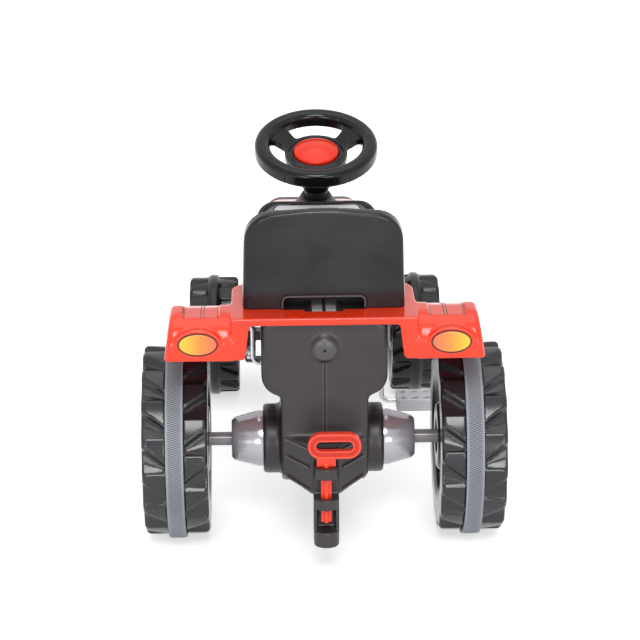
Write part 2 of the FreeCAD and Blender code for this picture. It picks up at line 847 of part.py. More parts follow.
for row in (-PEDAL_HOLE_ROW, PEDAL_HOLE_ROW):
    for index in range(PEDAL_HOLES):
        hole_x = PEDAL_INNER + (index + 0.5) * hole_step
        pedal_cuts.append(rod_z(hole_x, row, -PEDAL_THICK, PEDAL_THICK, PEDAL_HOLE_R))
pedal = pedal_block.cut(pedal_cuts)
parts["pedal_right"] = pedal.translated(V(0, crank_y, right_z))
parts["pedal_left"] = mirrored(pedal).translated(V(0, crank_y, left_z))
cap_start = pedal_outer + KNUCKLE_GAP
cap = ring_x(cap_start, rod_end, CRANK_R + SEAT_GAP, PEDAL_CAP_R)
parts["pedal_end_caps"] = Part.makeCompound([
    cap.translated(V(0, crank_y, right_z)),
    mirrored(cap).translated(V(0, crank_y, left_z)),
])
bush_out = TUB_HALF + CRANK_FLANGE
crank_bush = turned_x([
    (TUB_HALF - CRANK_BUSH_LENGTH, CRANK_R + RUN_GAP),
    (bush_out, CRANK_R + RUN_GAP),
    (bush_out, CRANK_FLANGE_R),
    (TUB_HALF, CRANK_FLANGE_R),
    (TUB_HALF, CRANK_BUSH_R),
    (TUB_HALF - CRANK_BUSH_LENGTH, CRANK_BUSH_R),
]).translated(V(0, crank_y, CRANK_Z))
parts["crank_bush_right"] = crank_bush
parts["crank_bush_left"] = mirrored(crank_bush)


# Steering column line: everything on it is drawn upright about Z and then leaned back

steer_centre = V(0, ahead(STEER_AHEAD), STEER_Z)


def on_column(shape):
    shape = shape.copy()
    shape.rotate(V(), V(1, 0, 0), STEER_TILT)
    return shape.translated(steer_centre)


def column_height(z):
    """Distance along the column from the wheel's centre to a height above ground."""
    return (z - STEER_Z) / math.cos(math.radians(STEER_TILT))


def turned_z(profile):
    """Solid of revolution about the Z axis from (radius, height) points."""
    points = [V(radius, 0, height) for radius, height in profile]
    return Part.Face(Part.makePolygon(points + points[:1])).revolve(V(), V(0, 0, 1), 360)


def arc_window(inner_r, outer_r, start, end, round_r, z_low, z_high):
    """Annular opening between two spokes, with rounded corners."""
    low = math.radians(start)
    high = math.radians(end)
    mid = (low + high) / 2

    def at(radius, angle):
        return V(radius * math.cos(angle), radius * math.sin(angle), z_low)

    edges = [
        Part.Arc(at(outer_r, low), at(outer_r, mid), at(outer_r, high)).toShape(),
        Part.makeLine(at(outer_r, high), at(inner_r, high)),
        Part.Arc(at(inner_r, high), at(inner_r, mid), at(inner_r, low)).toShape(),
        Part.makeLine(at(inner_r, low), at(outer_r, low)),
    ]
    solid = Part.Face(Part.Wire(edges)).extrude(V(0, 0, z_high - z_low))
    upright = [e for e in solid.Edges if e.BoundBox.ZLength > (z_high - z_low) / 2]
    return solid.makeFillet(round_r, upright)


# Steering wheel: thick rim, three spokes and a bowl that holds the horn button

rim_inner = STEER_R - RIM_WIDTH
rim_half = RIM_HEIGHT / 2


def rim_ring(inset):
    """Rim turned about the column, deeper on its outside, drawn in by inset all round."""
    low = inset - rim_half
    high = rim_half - inset
    turn_in = RIM_ROUND - inset
    section = rounded_wire(
        [
            (rim_inner + inset, low, turn_in),
            (STEER_R - inset, low - RIM_SKIRT, RIM_ROUND / 2),
            (STEER_R - inset, high, turn_in),
            (rim_inner + inset, high, turn_in),
        ],
        lambda p: V(p.x, 0, p.y),
    )
    return Part.Face(section).revolve(V(), V(0, 0, 1), 360)


rim = rim_ring(0)
rim_skin = rim.cut(rim_ring(GROOVE_DEEP))
groove_angles = [GROOVE_SIDE, 180 - GROOVE_SIDE]
for end_angle in (90, 270):
    groove_angles += [end_angle - GROOVE_END, end_angle + GROOVE_END]
grooves = []
for angle in groove_angles:
    groove = box(rim_inner - 1, STEER_R + 1, -GROOVE_WIDE / 2, GROOVE_WIDE / 2, -RIM_HEIGHT, RIM_HEIGHT)
    groove.rotate(V(), V(0, 0, 1), angle)
    grooves.append(groove.common(rim_skin))
hub_level = -HUB_SINK
spoke_plate = turned_z([
    (0, hub_level - SPOKE_THICK),
    (STEER_HUB_R, hub_level - SPOKE_THICK),
    (rim_inner + RIM_WIDTH / 2, -SPOKE_THICK / 2),
    (rim_inner + RIM_WIDTH / 2, SPOKE_THICK / 2),
    (STEER_HUB_R, hub_level),
    (0, hub_level),
])
windows = []
window_inner = STEER_HUB_R + WINDOW_MARGIN
window_angles = (
    (90 - UPPER_WINDOW, 90 + UPPER_WINDOW),
    (LOWER_WINDOW_START, LOWER_WINDOW_END),
    (180 - LOWER_WINDOW_END, 180 - LOWER_WINDOW_START),
)
for start, end in window_angles:
    windows.append(arc_window(window_inner, rim_inner, start, end, WINDOW_ROUND, -3 * RIM_HEIGHT, RIM_HEIGHT))
spoke_plate = spoke_plate.cut(windows)
hub_bottom = hub_level - STEER_HUB_DEEP
collar_bottom = hub_bottom - STEER_COLLAR
spring_floor = hub_bottom + WELL_WALL / 3
horn_floor = hub_level - HORN_TRAVEL - HORN_DEEP
hub = turned_z([
    (0, collar_bottom),
    (STEER_COLLAR_R, collar_bottom),
    (STEER_COLLAR_R, hub_bottom - HUB_FLARE),
    (STEER_HUB_R, hub_bottom + HUB_SKIRT),
    (STEER_HUB_R, hub_level),
    (HORN_R + HORN_LIP, hub_level + LIP_RISE),
    (0, hub_level + LIP_RISE),
])
horn_well = turned_z([
    (0, horn_floor),
    (HORN_R + KNUCKLE_GAP, horn_floor),
    (HORN_R + KNUCKLE_GAP, RIM_HEIGHT),
    (0, RIM_HEIGHT),
])
spring_well_r = SPRING_R + 3 * SPRING_WIRE_R
spring_well = rod_z(0, 0, spring_floor, horn_floor + 1, spring_well_r)
shaft_top = spring_floor - WELL_WALL
shaft_hole = rod_z(0, 0, collar_bottom - 1, shaft_top, SHAFT_R + SEAT_GAP)
wheel_solid = rim.cut(grooves).fuse([spoke_plate, hub]).cut([horn_well, spring_well, shaft_hole])
parts["steering_wheel"] = on_column(wheel_solid)

# Horn button: domed cap that is pressed in against a coil spring

horn_base = horn_floor + HORN_TRAVEL + HORN_FLOAT
horn_edge = hub_level + LIP_RISE + HORN_PROUD
horn_button = rod_z(0, 0, horn_base, horn_edge, HORN_R)
horn_button = horn_button.fuse(dome(HORN_R, HORN_CROWN).translated(V(0, 0, horn_edge))).removeSplitter()
parts["horn_button"] = on_column(horn_button)


def coil_spring(radius, wire_r, low, high, turns):
    """Open coil drawn as quarter-turn arcs that climb evenly."""
    quarters = 4 * turns
    rise = (high - low - 2 * wire_r) / quarters

    def at(step):
        angle = step * math.pi / 2
        return V(radius * math.cos(angle), radius * math.sin(angle), low + wire_r + step * rise)

    edges = []
    for step in range(quarters):
        edges.append(Part.Arc(at(step), at(step + 0.5), at(step + 1)).toShape())
    first = edges[0].tangentAt(edges[0].FirstParameter)
    section = Part.Wire([Part.makeCircle(wire_r, at(0), first)])
    return Part.Wire(edges).makePipeShell([section], True, False)


spring = coil_spring(SPRING_R, SPRING_WIRE_R, spring_floor + SEAT_GAP, horn_base - SEAT_GAP, SPRING_TURNS)
parts["horn_spring"] = on_column(spring)

# Steering shaft: steel rod whose lower end is bent back into an arm and a pin for the tie rod

tie_top = RIB_R - BEAM_HEIGHT / 2 - KNUCKLE_GAP - KNUCKLE_PLATE - KNUCKLE_GAP
tie_low = tie_top - TIE_THICK
tilt = math.radians(STEER_TILT)
pin_mid_drop = STEER_PIN / 2
bend_z = (tie_top + tie_low) / 2 + STEER_ARM * math.sin(tilt) + pin_mid_drop * math.cos(tilt)
bend_height = column_height(bend_z)
shaft_points = [
    V(0, 0, shaft_top - 1),
    V(0, 0, bend_height),
    V(0, -STEER_ARM, bend_height),
    V(0, -STEER_ARM, bend_height - STEER_PIN),
]
parts["steering_shaft"] = on_column(bent_rod(shaft_points, SHAFT_R, STEER_BEND))


def on_column_point(x, y, height):
    return on_column(Part.Vertex(V(x, y, height))).Point


pin_mid = on_column_point(0, -STEER_ARM, bend_height - pin_mid_drop)


# Bonnet and the cowl of the body that carries it: one tapered form at two sizes


def bonnet_form(inset, y_low, y_high, z_low):
    """Loft of two flat-sided arches between two stations, drawn in by inset."""
    wires = []
    for distance in (y_low, y_high):
        share = (distance - BONNET_REAR) / (BONNET_FRONT - BONNET_REAR)
        half = BONNET_REAR_HALF + share * (BONNET_FRONT_HALF - BONNET_REAR_HALF) - inset
        top = BONNET_REAR_TOP + share * (BONNET_FRONT_TOP - BONNET_REAR_TOP) - inset
        corner = BONNET_CORNER - inset
        y = ahead(distance)
        corners = [(-half, z_low, 0), (half, z_low, 0), (half, top, corner), (-half, top, corner)]
        wires.append(rounded_wire(corners, lambda p: V(p.x, y, p.y)))
    return Part.makeLoft(wires, True, True)


boss_spot = on_column_point(0, 0, column_height(BONNET_REAR_TOP - BONNET_WALL))
boss_y = boss_spot.y
slot_half = DASH_BOSS_R + SIDE_GAP


def boss_slot(half, y_low, z_low, z_high):
    """Round-ended slot in plan, open towards the driver, about the steering column."""
    run = box(-half, half, y_low, boss_y, z_low, z_high)
    return run.fuse(rod_z(0, boss_y, z_low, z_high, half)).removeSplitter()


bonnet_outer = bonnet_form(0, BONNET_REAR, BONNET_FRONT, BONNET_BOTTOM)
cowl_room = bonnet_form(BONNET_WALL, BONNET_REAR - 1, BONNET_FRONT - BONNET_WALL, BONNET_BOTTOM - 1)
slot = boss_slot(slot_half, ahead(BONNET_REAR) - 1, BONNET_FRONT_TOP, BONNET_REAR_TOP + 1)
louvres = []
for index in range(LOUVRES):
    y = ahead(LOUVRE_FRONT) - index * LOUVRE_STEP
    louvre_corners = [
        (y, LOUVRE_LOW, LOUVRE_ROUND),
        (y + LOUVRE_WIDTH, LOUVRE_LOW, LOUVRE_ROUND),
        (y + LOUVRE_WIDTH - LOUVRE_SLANT, LOUVRE_HIGH, LOUVRE_ROUND),
        (y - LOUVRE_SLANT, LOUVRE_HIGH, LOUVRE_ROUND),
    ]
    louvres.append(side_prism(louvre_corners, BONNET_FRONT_HALF - BONNET_WALL, BONNET_REAR_HALF + 1))
louvre_skin = bonnet_form(LOUVRE_SINK, BONNET_REAR - 1, BONNET_FRONT + 1, BONNET_BOTTOM - 1)
louvre_cuts = []
for louvre in louvres:
    louvre_cuts += both_sides(louvre.cut(louvre_skin))
bonnet = bonnet_outer.cut([cowl_room, slot] + louvre_cuts)

# Dash panel: slanted hood behind the bonnet, a tongue over the cowl and the cone round the column

hood = side_prism(
    [
        (ahead(DASH_FOOT), BONNET_BOTTOM, DASH_SOFT),
        (ahead(BONNET_REAR) - SIDE_GAP, BONNET_BOTTOM, 0),
        (ahead(BONNET_REAR) - SIDE_GAP, DASH_TOP, 0),
        (ahead(DASH_LIP), DASH_TOP, DASH_SOFT / 2),
        (ahead(DASH_REAR), DASH_KNEE, 2 * DASH_SOFT),
    ],
    -DASH_HALF,
    DASH_HALF,
)
arch = rear_prism(
    [
        (-DASH_HALF, BONNET_BOTTOM - 1, 0),
        (DASH_HALF, BONNET_BOTTOM - 1, 0),
        (DASH_HALF, DASH_TOP, BONNET_CORNER),
        (-DASH_HALF, DASH_TOP, BONNET_CORNER),
    ],
    ahead(DASH_REAR) - CUT_OVER,
    ahead(BONNET_FRONT),
)
hood = hood.common(arch)
tongue_form = bonnet_form(0, BONNET_REAR - TONGUE_LAP, BONNET_FRONT, BONNET_BOTTOM).cut(cowl_room)
tongue = tongue_form.common(
    boss_slot(DASH_BOSS_R, ahead(BONNET_REAR) - TONGUE_LAP, BONNET_FRONT_TOP, BONNET_REAR_TOP + TONGUE_LAP)
)
boss_base = column_height(BOSS_CONE_LOW)
boss_top = column_height(BOSS_CONE_TOP)
boss_cone = on_column(turned_z([
    (0, boss_base),
    (BOSS_CONE_R, boss_base),
    (COLUMN_R + BOSS_CONE_WALL, boss_top),
    (0, boss_top),
]))
boss_cone = boss_cone.cut(cowl_room)
column_hole = on_column(rod_z(0, 0, bend_height, boss_top + CUT_OVER, COLUMN_R + SEAT_GAP))
face_lean = math.degrees(math.atan2(DASH_LIP - DASH_REAR, DASH_TOP - DASH_KNEE))
face_length = math.hypot(DASH_LIP - DASH_REAR, DASH_TOP - DASH_KNEE)


def on_dash(shape):
    """From flat on the X-Z plane, facing -Y, to the slanted face of the dash."""
    shape = shape.copy()
    shape.rotate(V(), V(1, 0, 0), -face_lean)
    return shape.translated(V(0, ahead(DASH_REAR), DASH_KNEE))


face_low = FACE_MARGIN
face_high = face_length - FACE_MARGIN / 3


def face_plate(grow, y_low, y_high):
    half = FACE_HALF + grow
    corners = [
        (-half, face_low - grow, FACE_ROUND),
        (half, face_low - grow, FACE_ROUND),
        (half, face_high + grow, FACE_ROUND),
        (-half, face_high + grow, FACE_ROUND),
    ]
    return on_dash(rear_prism(corners, y_low, y_high))


face_seat = FACE_THICK - FACE_PROUD
parts["instrument_face"] = face_plate(0, -FACE_PROUD, face_seat)
dash = hood.fuse([tongue, boss_cone])
dash = dash.cut([face_plate(SIDE_GAP / 2, -CUT_OVER, face_seat), column_hole])

# Column sleeve: fixed tube between the dash boss and the steering wheel's collar

sleeve_top = collar_bottom - KNUCKLE_GAP
sleeve_bottom = boss_base + SLEEVE_LIFT
column_sleeve = rod_z(0, 0, sleeve_bottom, sleeve_top, COLUMN_R)
column_sleeve = column_sleeve.cut(rod_z(0, 0, sleeve_bottom - 1, sleeve_top + 1, SHAFT_R + 1))
parts["column_sleeve"] = on_column(column_sleeve).cut(cowl_room)

# Main body: blow-moulded tub, seat pedestal, wedge tail and cowl

tub = side_prism(
    [
        (ahead(-BODY_BACK), BAND_R - TAIL_DROP, TUB_ROUND),
        (ahead(-TAIL_RAMP), BAND_R - RAMP_DROP, TUB_ROUND),
        (ahead(BELLY_STEP), BAND_R - AXLE_DROP, 2 * TUB_ROUND),
        (ahead(BELLY_START), TUB_BOTTOM, 2 * TUB_ROUND),
        (ahead(BELLY_END), TUB_BOTTOM, TUB_ROUND),
        (ahead(NOSE_START), NOSE_BOTTOM, TUB_ROUND),
        (ahead(NOSE_END), NOSE_BOTTOM, TUB_ROUND),
        (ahead(NOSE_END + NOSE_LEAN), TUB_TOP, EDGE_SOFT),
        (ahead(SADDLE_FRONT), TUB_TOP, 2 * TUB_ROUND),
        (ahead(PEDESTAL_FRONT), SADDLE_Z, 2 * TUB_ROUND),
        (ahead(-BODY_BACK), SADDLE_Z, TUB_ROUND),
    ],
    -TUB_HALF,
    TUB_HALF,
)
tub = softened(tub, EDGE_SOFT / 2, "X", (-TUB_HALF, TUB_HALF))
pedestal_top = DECK_TOP - PEDESTAL_SINK
pedestal = rear_prism(
    [
        (-PEDESTAL_HALF, PEDESTAL_BOTTOM, PEDESTAL_ROUND),
        (PEDESTAL_HALF, PEDESTAL_BOTTOM, PEDESTAL_ROUND),
        (PEDESTAL_HALF, pedestal_top, EDGE_SOFT),
        (-PEDESTAL_HALF, pedestal_top, EDGE_SOFT),
    ],
    ahead(-BODY_BACK),
    ahead(PEDESTAL_FRONT),
)
pedestal = softened(pedestal, EDGE_SOFT, "Y", (ahead(-BODY_BACK),))
deck_low = DECK_TOP - DECK_THICK
seat_block_side = side_prism(
    [
        (ahead(-BODY_BACK) - CUT_OVER, PEDESTAL_BOTTOM - CUT_OVER, 0),
        (ahead(PEDESTAL_FRONT), PEDESTAL_BOTTOM - CUT_OVER, 0),
        (ahead(PEDESTAL_FRONT - PLATEAU_ROUND), PEDESTAL_BOTTOM + PEDESTAL_ROUND, PEDESTAL_ROUND),
        (ahead(SEAT_FRONT - PLATEAU_ROUND), deck_low, PEDESTAL_ROUND),
        (ahead(-BODY_BACK) - CUT_OVER, deck_low, 0),
    ],
    -PEDESTAL_HALF - CUT_OVER,
    PEDESTAL_HALF + CUT_OVER,
)
plateau = rear_prism(
    [
        (-PLATEAU_HALF, pedestal_top - ROOT_LAP, 0),
        (PLATEAU_HALF, pedestal_top - ROOT_LAP, 0),
        (PLATEAU_HALF, deck_low, PLATEAU_ROUND),
        (-PLATEAU_HALF, deck_low, PLATEAU_ROUND),
    ],
    ahead(-BODY_BACK),
    ahead(PEDESTAL_FRONT),
)
seat_block = pedestal.fuse(plateau).common(seat_block_side)
slot_end = ahead(-SEAT_BACK_Y) + SLOT_DEEP
notch_end = ahead(-SEAT_BACK_Y) - NOTCH_LONG
rail = rear_prism(
    [
        (-RAIL_HALF, deck_low - ROOT_LAP, 0),
        (RAIL_HALF, deck_low - ROOT_LAP, 0),
        (RAIL_HALF, DECK_TOP - RAIL_SINK, RAIL_ROUND),
        (-RAIL_HALF, DECK_TOP - RAIL_SINK, RAIL_ROUND),
    ],
    notch_end + SIDE_GAP,
    slot_end - SIDE_GAP,
)
drum = rod_x(-DRUM_HALF, DRUM_HALF, AXLE_Y, BAND_R, DRUM_R)
drum = softened(drum, RAIL_ROUND, "X", (-DRUM_HALF, DRUM_HALF))
hitch_axis_y = ahead(-REAR_REACH + HITCH_HALF)
hitch_front = hitch_axis_y + HITCH_HALF
wedge = plan_prism(
    [
        (-TUB_HALF, ahead(-BODY_BACK + WEDGE_ROOT), 0),
        (-TUB_HALF, ahead(-BODY_BACK + WEDGE_LAP), 2 * WEDGE_SOFT),
        (-HITCH_HALF, hitch_front, WEDGE_SOFT),
        (HITCH_HALF, hitch_front, WEDGE_SOFT),
        (TUB_HALF, ahead(-BODY_BACK + WEDGE_LAP), 2 * WEDGE_SOFT),
        (TUB_HALF, ahead(-BODY_BACK + WEDGE_ROOT), 0),
    ],
    WEDGE_BOTTOM,
    WEDGE_TOP,
)
wedge = softened(wedge, WEDGE_SOFT, "Z", (WEDGE_TOP,))
keel = rear_prism(
    [
        (-HITCH_HALF, WEDGE_BOTTOM, WEDGE_SOFT),
        (HITCH_HALF, WEDGE_BOTTOM, WEDGE_SOFT),
        (TUB_HALF, WEDGE_BOTTOM + WEDGE_RISE, WEDGE_SOFT),
        (TUB_HALF, WEDGE_TOP, 0),
        (-TUB_HALF, WEDGE_TOP, 0),
        (-TUB_HALF, WEDGE_BOTTOM + WEDGE_RISE, WEDGE_SOFT),
    ],
    hitch_front - CUT_OVER,
    AXLE_Y,
)
wedge = wedge.common(keel)
boss_end = ahead(-BODY_BACK) - BOSS_PROUD
boss_z = pedestal_top - BOSS_DROP
boss = Part.makeCylinder(BOSS_R, BOSS_PROUD + BOSS_R, V(0, boss_end, boss_z), V(0, 1, 0))
boss = softened(boss, BOSS_SOFT, "Y", (boss_end,))
boss_hole = Part.makeCylinder(BOSS_HOLE_R, BOSS_R, V(0, boss_end - 1, boss_z), V(0, 1, 0))
cowl_front = BONNET_FRONT - BONNET_WALL - SEAT_GAP
cowl = bonnet_form(BONNET_WALL + SEAT_GAP, BONNET_REAR, cowl_front, COWL_BOTTOM)
beam_top = RIB_R + BEAM_HEIGHT / 2
pad = box(-PAD_HALF, PAD_HALF, FRONT_Y - PAD_LONG, FRONT_Y + PAD_LONG, beam_top, NOSE_BOTTOM + ROOT_LAP)
crank_boss = rod_x(-TUB_HALF, TUB_HALF, crank_y, CRANK_Z, CRANK_BOSS_R)
main_body = tub.fuse([seat_block, rail, drum, wedge, boss, cowl, pad, crank_boss])
tunnel_reach = CHAIN_HALF_HEIGHT + TUNNEL_ROOM
belly_low = min(TUB_BOTTOM, BAND_R - AXLE_DROP)
tunnel = box(
    -TUNNEL_HALF,
    TUNNEL_HALF,
    AXLE_Y - rear_pitch_r - tunnel_reach,
    crank_y + crank_pitch_r + tunnel_reach,
    belly_low - CUT_OVER,
    max(BAND_R + rear_pitch_r, CRANK_Z + crank_pitch_r) + tunnel_reach,
)
panel_corners = [
    (ahead(DRUM_R + PANEL_MARGIN), TUB_BOTTOM + 2 * PANEL_MARGIN, TUB_ROUND),
    (crank_y - CRANK_FLANGE_R - 2 * PANEL_MARGIN, TUB_BOTTOM + 2 * PANEL_MARGIN, TUB_ROUND),
    (crank_y - CRANK_FLANGE_R - 2 * PANEL_MARGIN, TUB_TOP - 2 * PANEL_MARGIN, TUB_ROUND),
    (ahead(PEDESTAL_FRONT), PEDESTAL_BOTTOM - PANEL_MARGIN, TUB_ROUND),
    (ahead(DRUM_R + PANEL_MARGIN), PEDESTAL_BOTTOM - PANEL_MARGIN, TUB_ROUND),
]
side_panel = side_prism(panel_corners, TUB_HALF - PANEL_SINK, TUB_HALF + 1)
nose_corners = [
    (ahead(NOSE_START), NOSE_BOTTOM + PANEL_MARGIN, PANEL_MARGIN),
    (ahead(NOSE_END) - 2 * PANEL_MARGIN, NOSE_BOTTOM + PANEL_MARGIN, PANEL_MARGIN),
    (ahead(NOSE_END) - 2 * PANEL_MARGIN, BONNET_BOTTOM - 3 * PANEL_MARGIN, PANEL_MARGIN),
    (ahead(BELLY_END), BONNET_BOTTOM - 3 * PANEL_MARGIN, PANEL_MARGIN),
    (ahead(BELLY_END), NOSE_BOTTOM + 4 * PANEL_MARGIN, PANEL_MARGIN),
]
nose_panel = side_prism(nose_corners, TUB_HALF - PANEL_SINK, TUB_HALF + 1)
panels = both_sides(side_panel) + both_sides(nose_panel)
axle_bore = rod_x(-DRUM_HALF - 1, DRUM_HALF + 1, AXLE_Y, BAND_R, AXLE_R + BORE_ROOM)
crank_bore = rod_x(-TUB_HALF - 1, TUB_HALF + 1, crank_y, CRANK_Z, CRANK_BUSH_R + SEAT_GAP)
shaft_bore = on_column(rod_z(0, 0, bend_height, 0, SHAFT_BUSH_R + SEAT_GAP))
main_body = main_body.cut(panels + [tunnel, axle_bore, crank_bore, shaft_bore, boss_hole])

parts["dash_panel"] = dash.cut(tub)

# Steering column bushes at the cowl's top and at the underside of the nose


def shaft_bush(low):
    ring = rod_z(0, 0, low, low + SHAFT_BUSH_LENGTH, SHAFT_BUSH_R)
    return on_column(ring.cut(rod_z(0, 0, low - 1, low + SHAFT_BUSH_LENGTH + 1, SHAFT_R + RUN_GAP)))


bush_low = column_height(NOSE_BOTTOM) + BUSH_LIFT
bush_high = boss_base - BUSH_LIFT - SHAFT_BUSH_LENGTH
parts["column_bush_lower"] = shaft_bush(bush_low)
parts["column_bush_upper"] = shaft_bush(bush_high)

# Fender: two mudguards, deck and rear apron in one moulding, open underneath


def oval(x, length, height, y_low, y_high):
    """Elliptical plug along Y."""
    ellipse = Part.Ellipse(V(0, 0, 0), length / 2, height / 2)
    edge = ellipse.toShape()
    edge.rotate(V(), V(1, 0, 0), 90)
    edge.translate(V(x, y_low, GUARD_BOTTOM + LAMP_LIFT))
    return Part.Face(Part.Wire([edge])).extrude(V(0, y_high - y_low, 0))


def guard_form(wall, top_wall, side_wall, low):
    """Mudguard over the right wheel, drawn in by the thickness of its walls."""
    profile = side_prism(
        [
            (ahead(-FENDER_BACK) + wall, low, 0),
            (ahead(GUARD_FRONT) - 3 * wall, low, 0),
            (ahead(0) - wall, GUARD_TOP - GUARD_SLOPE - top_wall, GUARD_SWEEP),
            (ahead(-GUARD_CROWN_Y), GUARD_TOP - top_wall, GUARD_CROWN_ROUND),
            (ahead(-FENDER_BACK) + wall, GUARD_TOP - top_wall, GUARD_ROUND - wall),
        ],
        GUARD_INNER,
        GUARD_OUTER,
    )
    section = rear_prism(
        [
            (GUARD_INNER + wall, low, 0),
            (GUARD_OUTER - side_wall, low, 0),
            (GUARD_OUTER - GUARD_TAPER - side_wall, GUARD_TOP, 0),
            (GUARD_INNER + wall, GUARD_TOP, 0),
        ],
        ahead(-FENDER_BACK),
        ahead(GUARD_FRONT),
    )
    return profile.common(section)


guard = guard_form(0, 0, 0, GUARD_BOTTOM)
outer_edges = []
for face in guard.Faces:
    if face.normalAt(0, 0).x > 0.9:
        outer_edges += [edge for edge in face.Edges if edge.BoundBox.ZMax > GUARD_BOTTOM + 1]
guard = guard.makeFillet(GUARD_SOFT, outer_edges)
lamp_back = ahead(-FENDER_BACK)
rim_back = lamp_back - LAMP_RIM_PROUD
rim_length = LAMP_LENGTH + 2 * LAMP_RIM
rim_height = LAMP_HEIGHT + 2 * LAMP_RIM
surround = oval(LAMP_X, rim_length, rim_height, rim_back, lamp_back + LAMP_RIM_DEEP)
lamp_seat = oval(LAMP_X, LAMP_LENGTH, LAMP_HEIGHT, rim_back - CUT_OVER, lamp_back + LAMP_SEAT)
hollow = guard_form(GUARD_WALL, GUARD_WALL + RECESS_DEEP, GUARD_SIDE, GUARD_BOTTOM - 1)
recess = side_prism(
    [
        (ahead(-FENDER_BACK), GUARD_TOP - RECESS_DEEP, 0),
        (ahead(-GUARD_CROWN_Y), GUARD_TOP - RECESS_DEEP, GUARD_CROWN_ROUND),
        (ahead(RECESS_FRONT), GUARD_TOP - GUARD_SLOPE - RECESS_DEEP, 0),
        (ahead(RECESS_FRONT), GUARD_TOP + CUT_OVER, 0),
        (ahead(-FENDER_BACK), GUARD_TOP + CUT_OVER, 0),
    ],
    RECESS_INNER,
    RECESS_OUTER,
)
guard = guard.fuse(surround).cut([hollow, recess, lamp_seat])
lens = oval(
    LAMP_X, LAMP_LENGTH - SIDE_GAP, LAMP_HEIGHT - SIDE_GAP, lamp_back - LAMP_PROUD, lamp_back + LAMP_SEAT
)
lens = softened(lens, LAMP_SOFT, "Y", (lamp_back - LAMP_PROUD,))
parts["tail_light_right"] = lens
parts["tail_light_left"] = mirrored(lens)
deck_half = GUARD_INNER + APRON_LAP
deck = plan_prism(
    [
        (-deck_half, ahead(-APRON_BACK), 0),
        (deck_half, ahead(-APRON_BACK), 0),
        (deck_half, ahead(STRIP_FRONT), STRIP_ROUND),
        (TONGUE_HALF, ahead(STRIP_FRONT), TONGUE_ROUND),
        (TONGUE_HALF, ahead(DECK_FRONT), TONGUE_ROUND),
        (-TONGUE_HALF, ahead(DECK_FRONT), TONGUE_ROUND),
        (-TONGUE_HALF, ahead(STRIP_FRONT), TONGUE_ROUND),
        (-deck_half, ahead(STRIP_FRONT), STRIP_ROUND),
    ],
    deck_low,
    DECK_TOP,
)
apron_foot = APRON_HALF + APRON_FLARE
apron = rear_prism(
    [
        (-deck_half, GUARD_BOTTOM, 0),
        (-apron_foot, GUARD_BOTTOM, APRON_CORNER),
        (-APRON_HALF, DECK_TOP - APRON_FACE, APRON_ROUND),
        (APRON_HALF, DECK_TOP - APRON_FACE, APRON_ROUND),
        (apron_foot, GUARD_BOTTOM, APRON_CORNER),
        (deck_half, GUARD_BOTTOM, 0),
        (deck_half, DECK_TOP, 0),
        (-deck_half, DECK_TOP, 0),
    ],
    ahead(-APRON_BACK),
    ahead(-APRON_BACK) + GUARD_WALL,
)
apron = softened(deck.fuse(apron).removeSplitter(), APRON_SOFT, "Y", (ahead(-APRON_BACK),))
notch_half = RAIL_HALF + NOTCH_ROOM
notch = box(-notch_half, notch_half, notch_end, slot_end, deck_low - 1, DECK_TOP + 1)
window = box(-SLOT_HALF, SLOT_HALF, ahead(-SEAT_BACK_Y), slot_end, deck_low - 1, DECK_TOP + 1)
fender = apron.fuse([guard, mirrored(guard)]).cut([notch, window])

# Seat: moulded bucket with a hand slot under its back

base_front = ahead(SEAT_FRONT)
back_y = ahead(-SEAT_BACK_Y)
seat_base = plan_prism(
    [
        (-SEAT_HALF, back_y, SEAT_SOFT),
        (-SEAT_HALF, base_front, SEAT_FRONT_ROUND),
        (SEAT_HALF, base_front, SEAT_FRONT_ROUND),
        (SEAT_HALF, back_y, SEAT_SOFT),
    ],
    DECK_TOP,
    DECK_TOP + SEAT_BASE_HEIGHT,
)
seat_base = softened(seat_base, SEAT_SOFT, "Z", (DECK_TOP + SEAT_BASE_HEIGHT,))
corner_z = SEAT_BACK_HEIGHT - SEAT_CROWN
back_plate = rear_prism(
    [
        (-SEAT_HALF, 0, SEAT_SOFT / 2),
        (SEAT_HALF, 0, SEAT_SOFT / 2),
        (SEAT_HALF - SEAT_TAPER, corner_z, SEAT_CORNER),
        (0, SEAT_BACK_HEIGHT, SEAT_CROWN_R),
        (-SEAT_HALF + SEAT_TAPER, corner_z, SEAT_CORNER),
    ],
    0,
    SEAT_BACK_THICK,
)
back_plate = softened(back_plate, SEAT_SOFT, "Y", (0, SEAT_BACK_THICK))
back_dish = Part.makeCylinder(
    SEAT_DISH_R, 2 * SEAT_BACK_HEIGHT, V(0, SEAT_BACK_THICK - SEAT_DISH + SEAT_DISH_R, -SEAT_BACK_HEIGHT / 2)
)
hand_hole = rear_prism(
    [
        (-SLOT_HALF, -SLOT_HEIGHT, 0),
        (SLOT_HALF, -SLOT_HEIGHT, 0),
        (SLOT_HALF, SLOT_HEIGHT, SLOT_ROUND),
        (-SLOT_HALF, SLOT_HEIGHT, SLOT_ROUND),
    ],
    -CUT_OVER,
    SEAT_BACK_THICK + CUT_OVER,
)
back_plate = back_plate.cut([back_dish, hand_hole])
back_plate.rotate(V(), V(1, 0, 0), SEAT_LEAN)
back_plate.translate(V(0, back_y, DECK_TOP))
base_dish = Part.makeCylinder(
    SEAT_DISH_R,
    2 * (SEAT_FRONT + SEAT_BACK_Y),
    V(0, back_y + SEAT_DISH_START, DECK_TOP + SEAT_BASE_HEIGHT - SEAT_DISH + SEAT_DISH_R),
    V(0, 1, 0),
)
slot_top = DECK_TOP + SLOT_HEIGHT
hand_slot = box(-SLOT_HALF, SLOT_HALF, back_y - SLOT_DEEP, slot_end, DECK_TOP - 1, slot_top)
seat = seat_base.cut([base_dish, hand_slot]).fuse(back_plate).removeSplitter()

# Front grille with its slats, and two round headlights

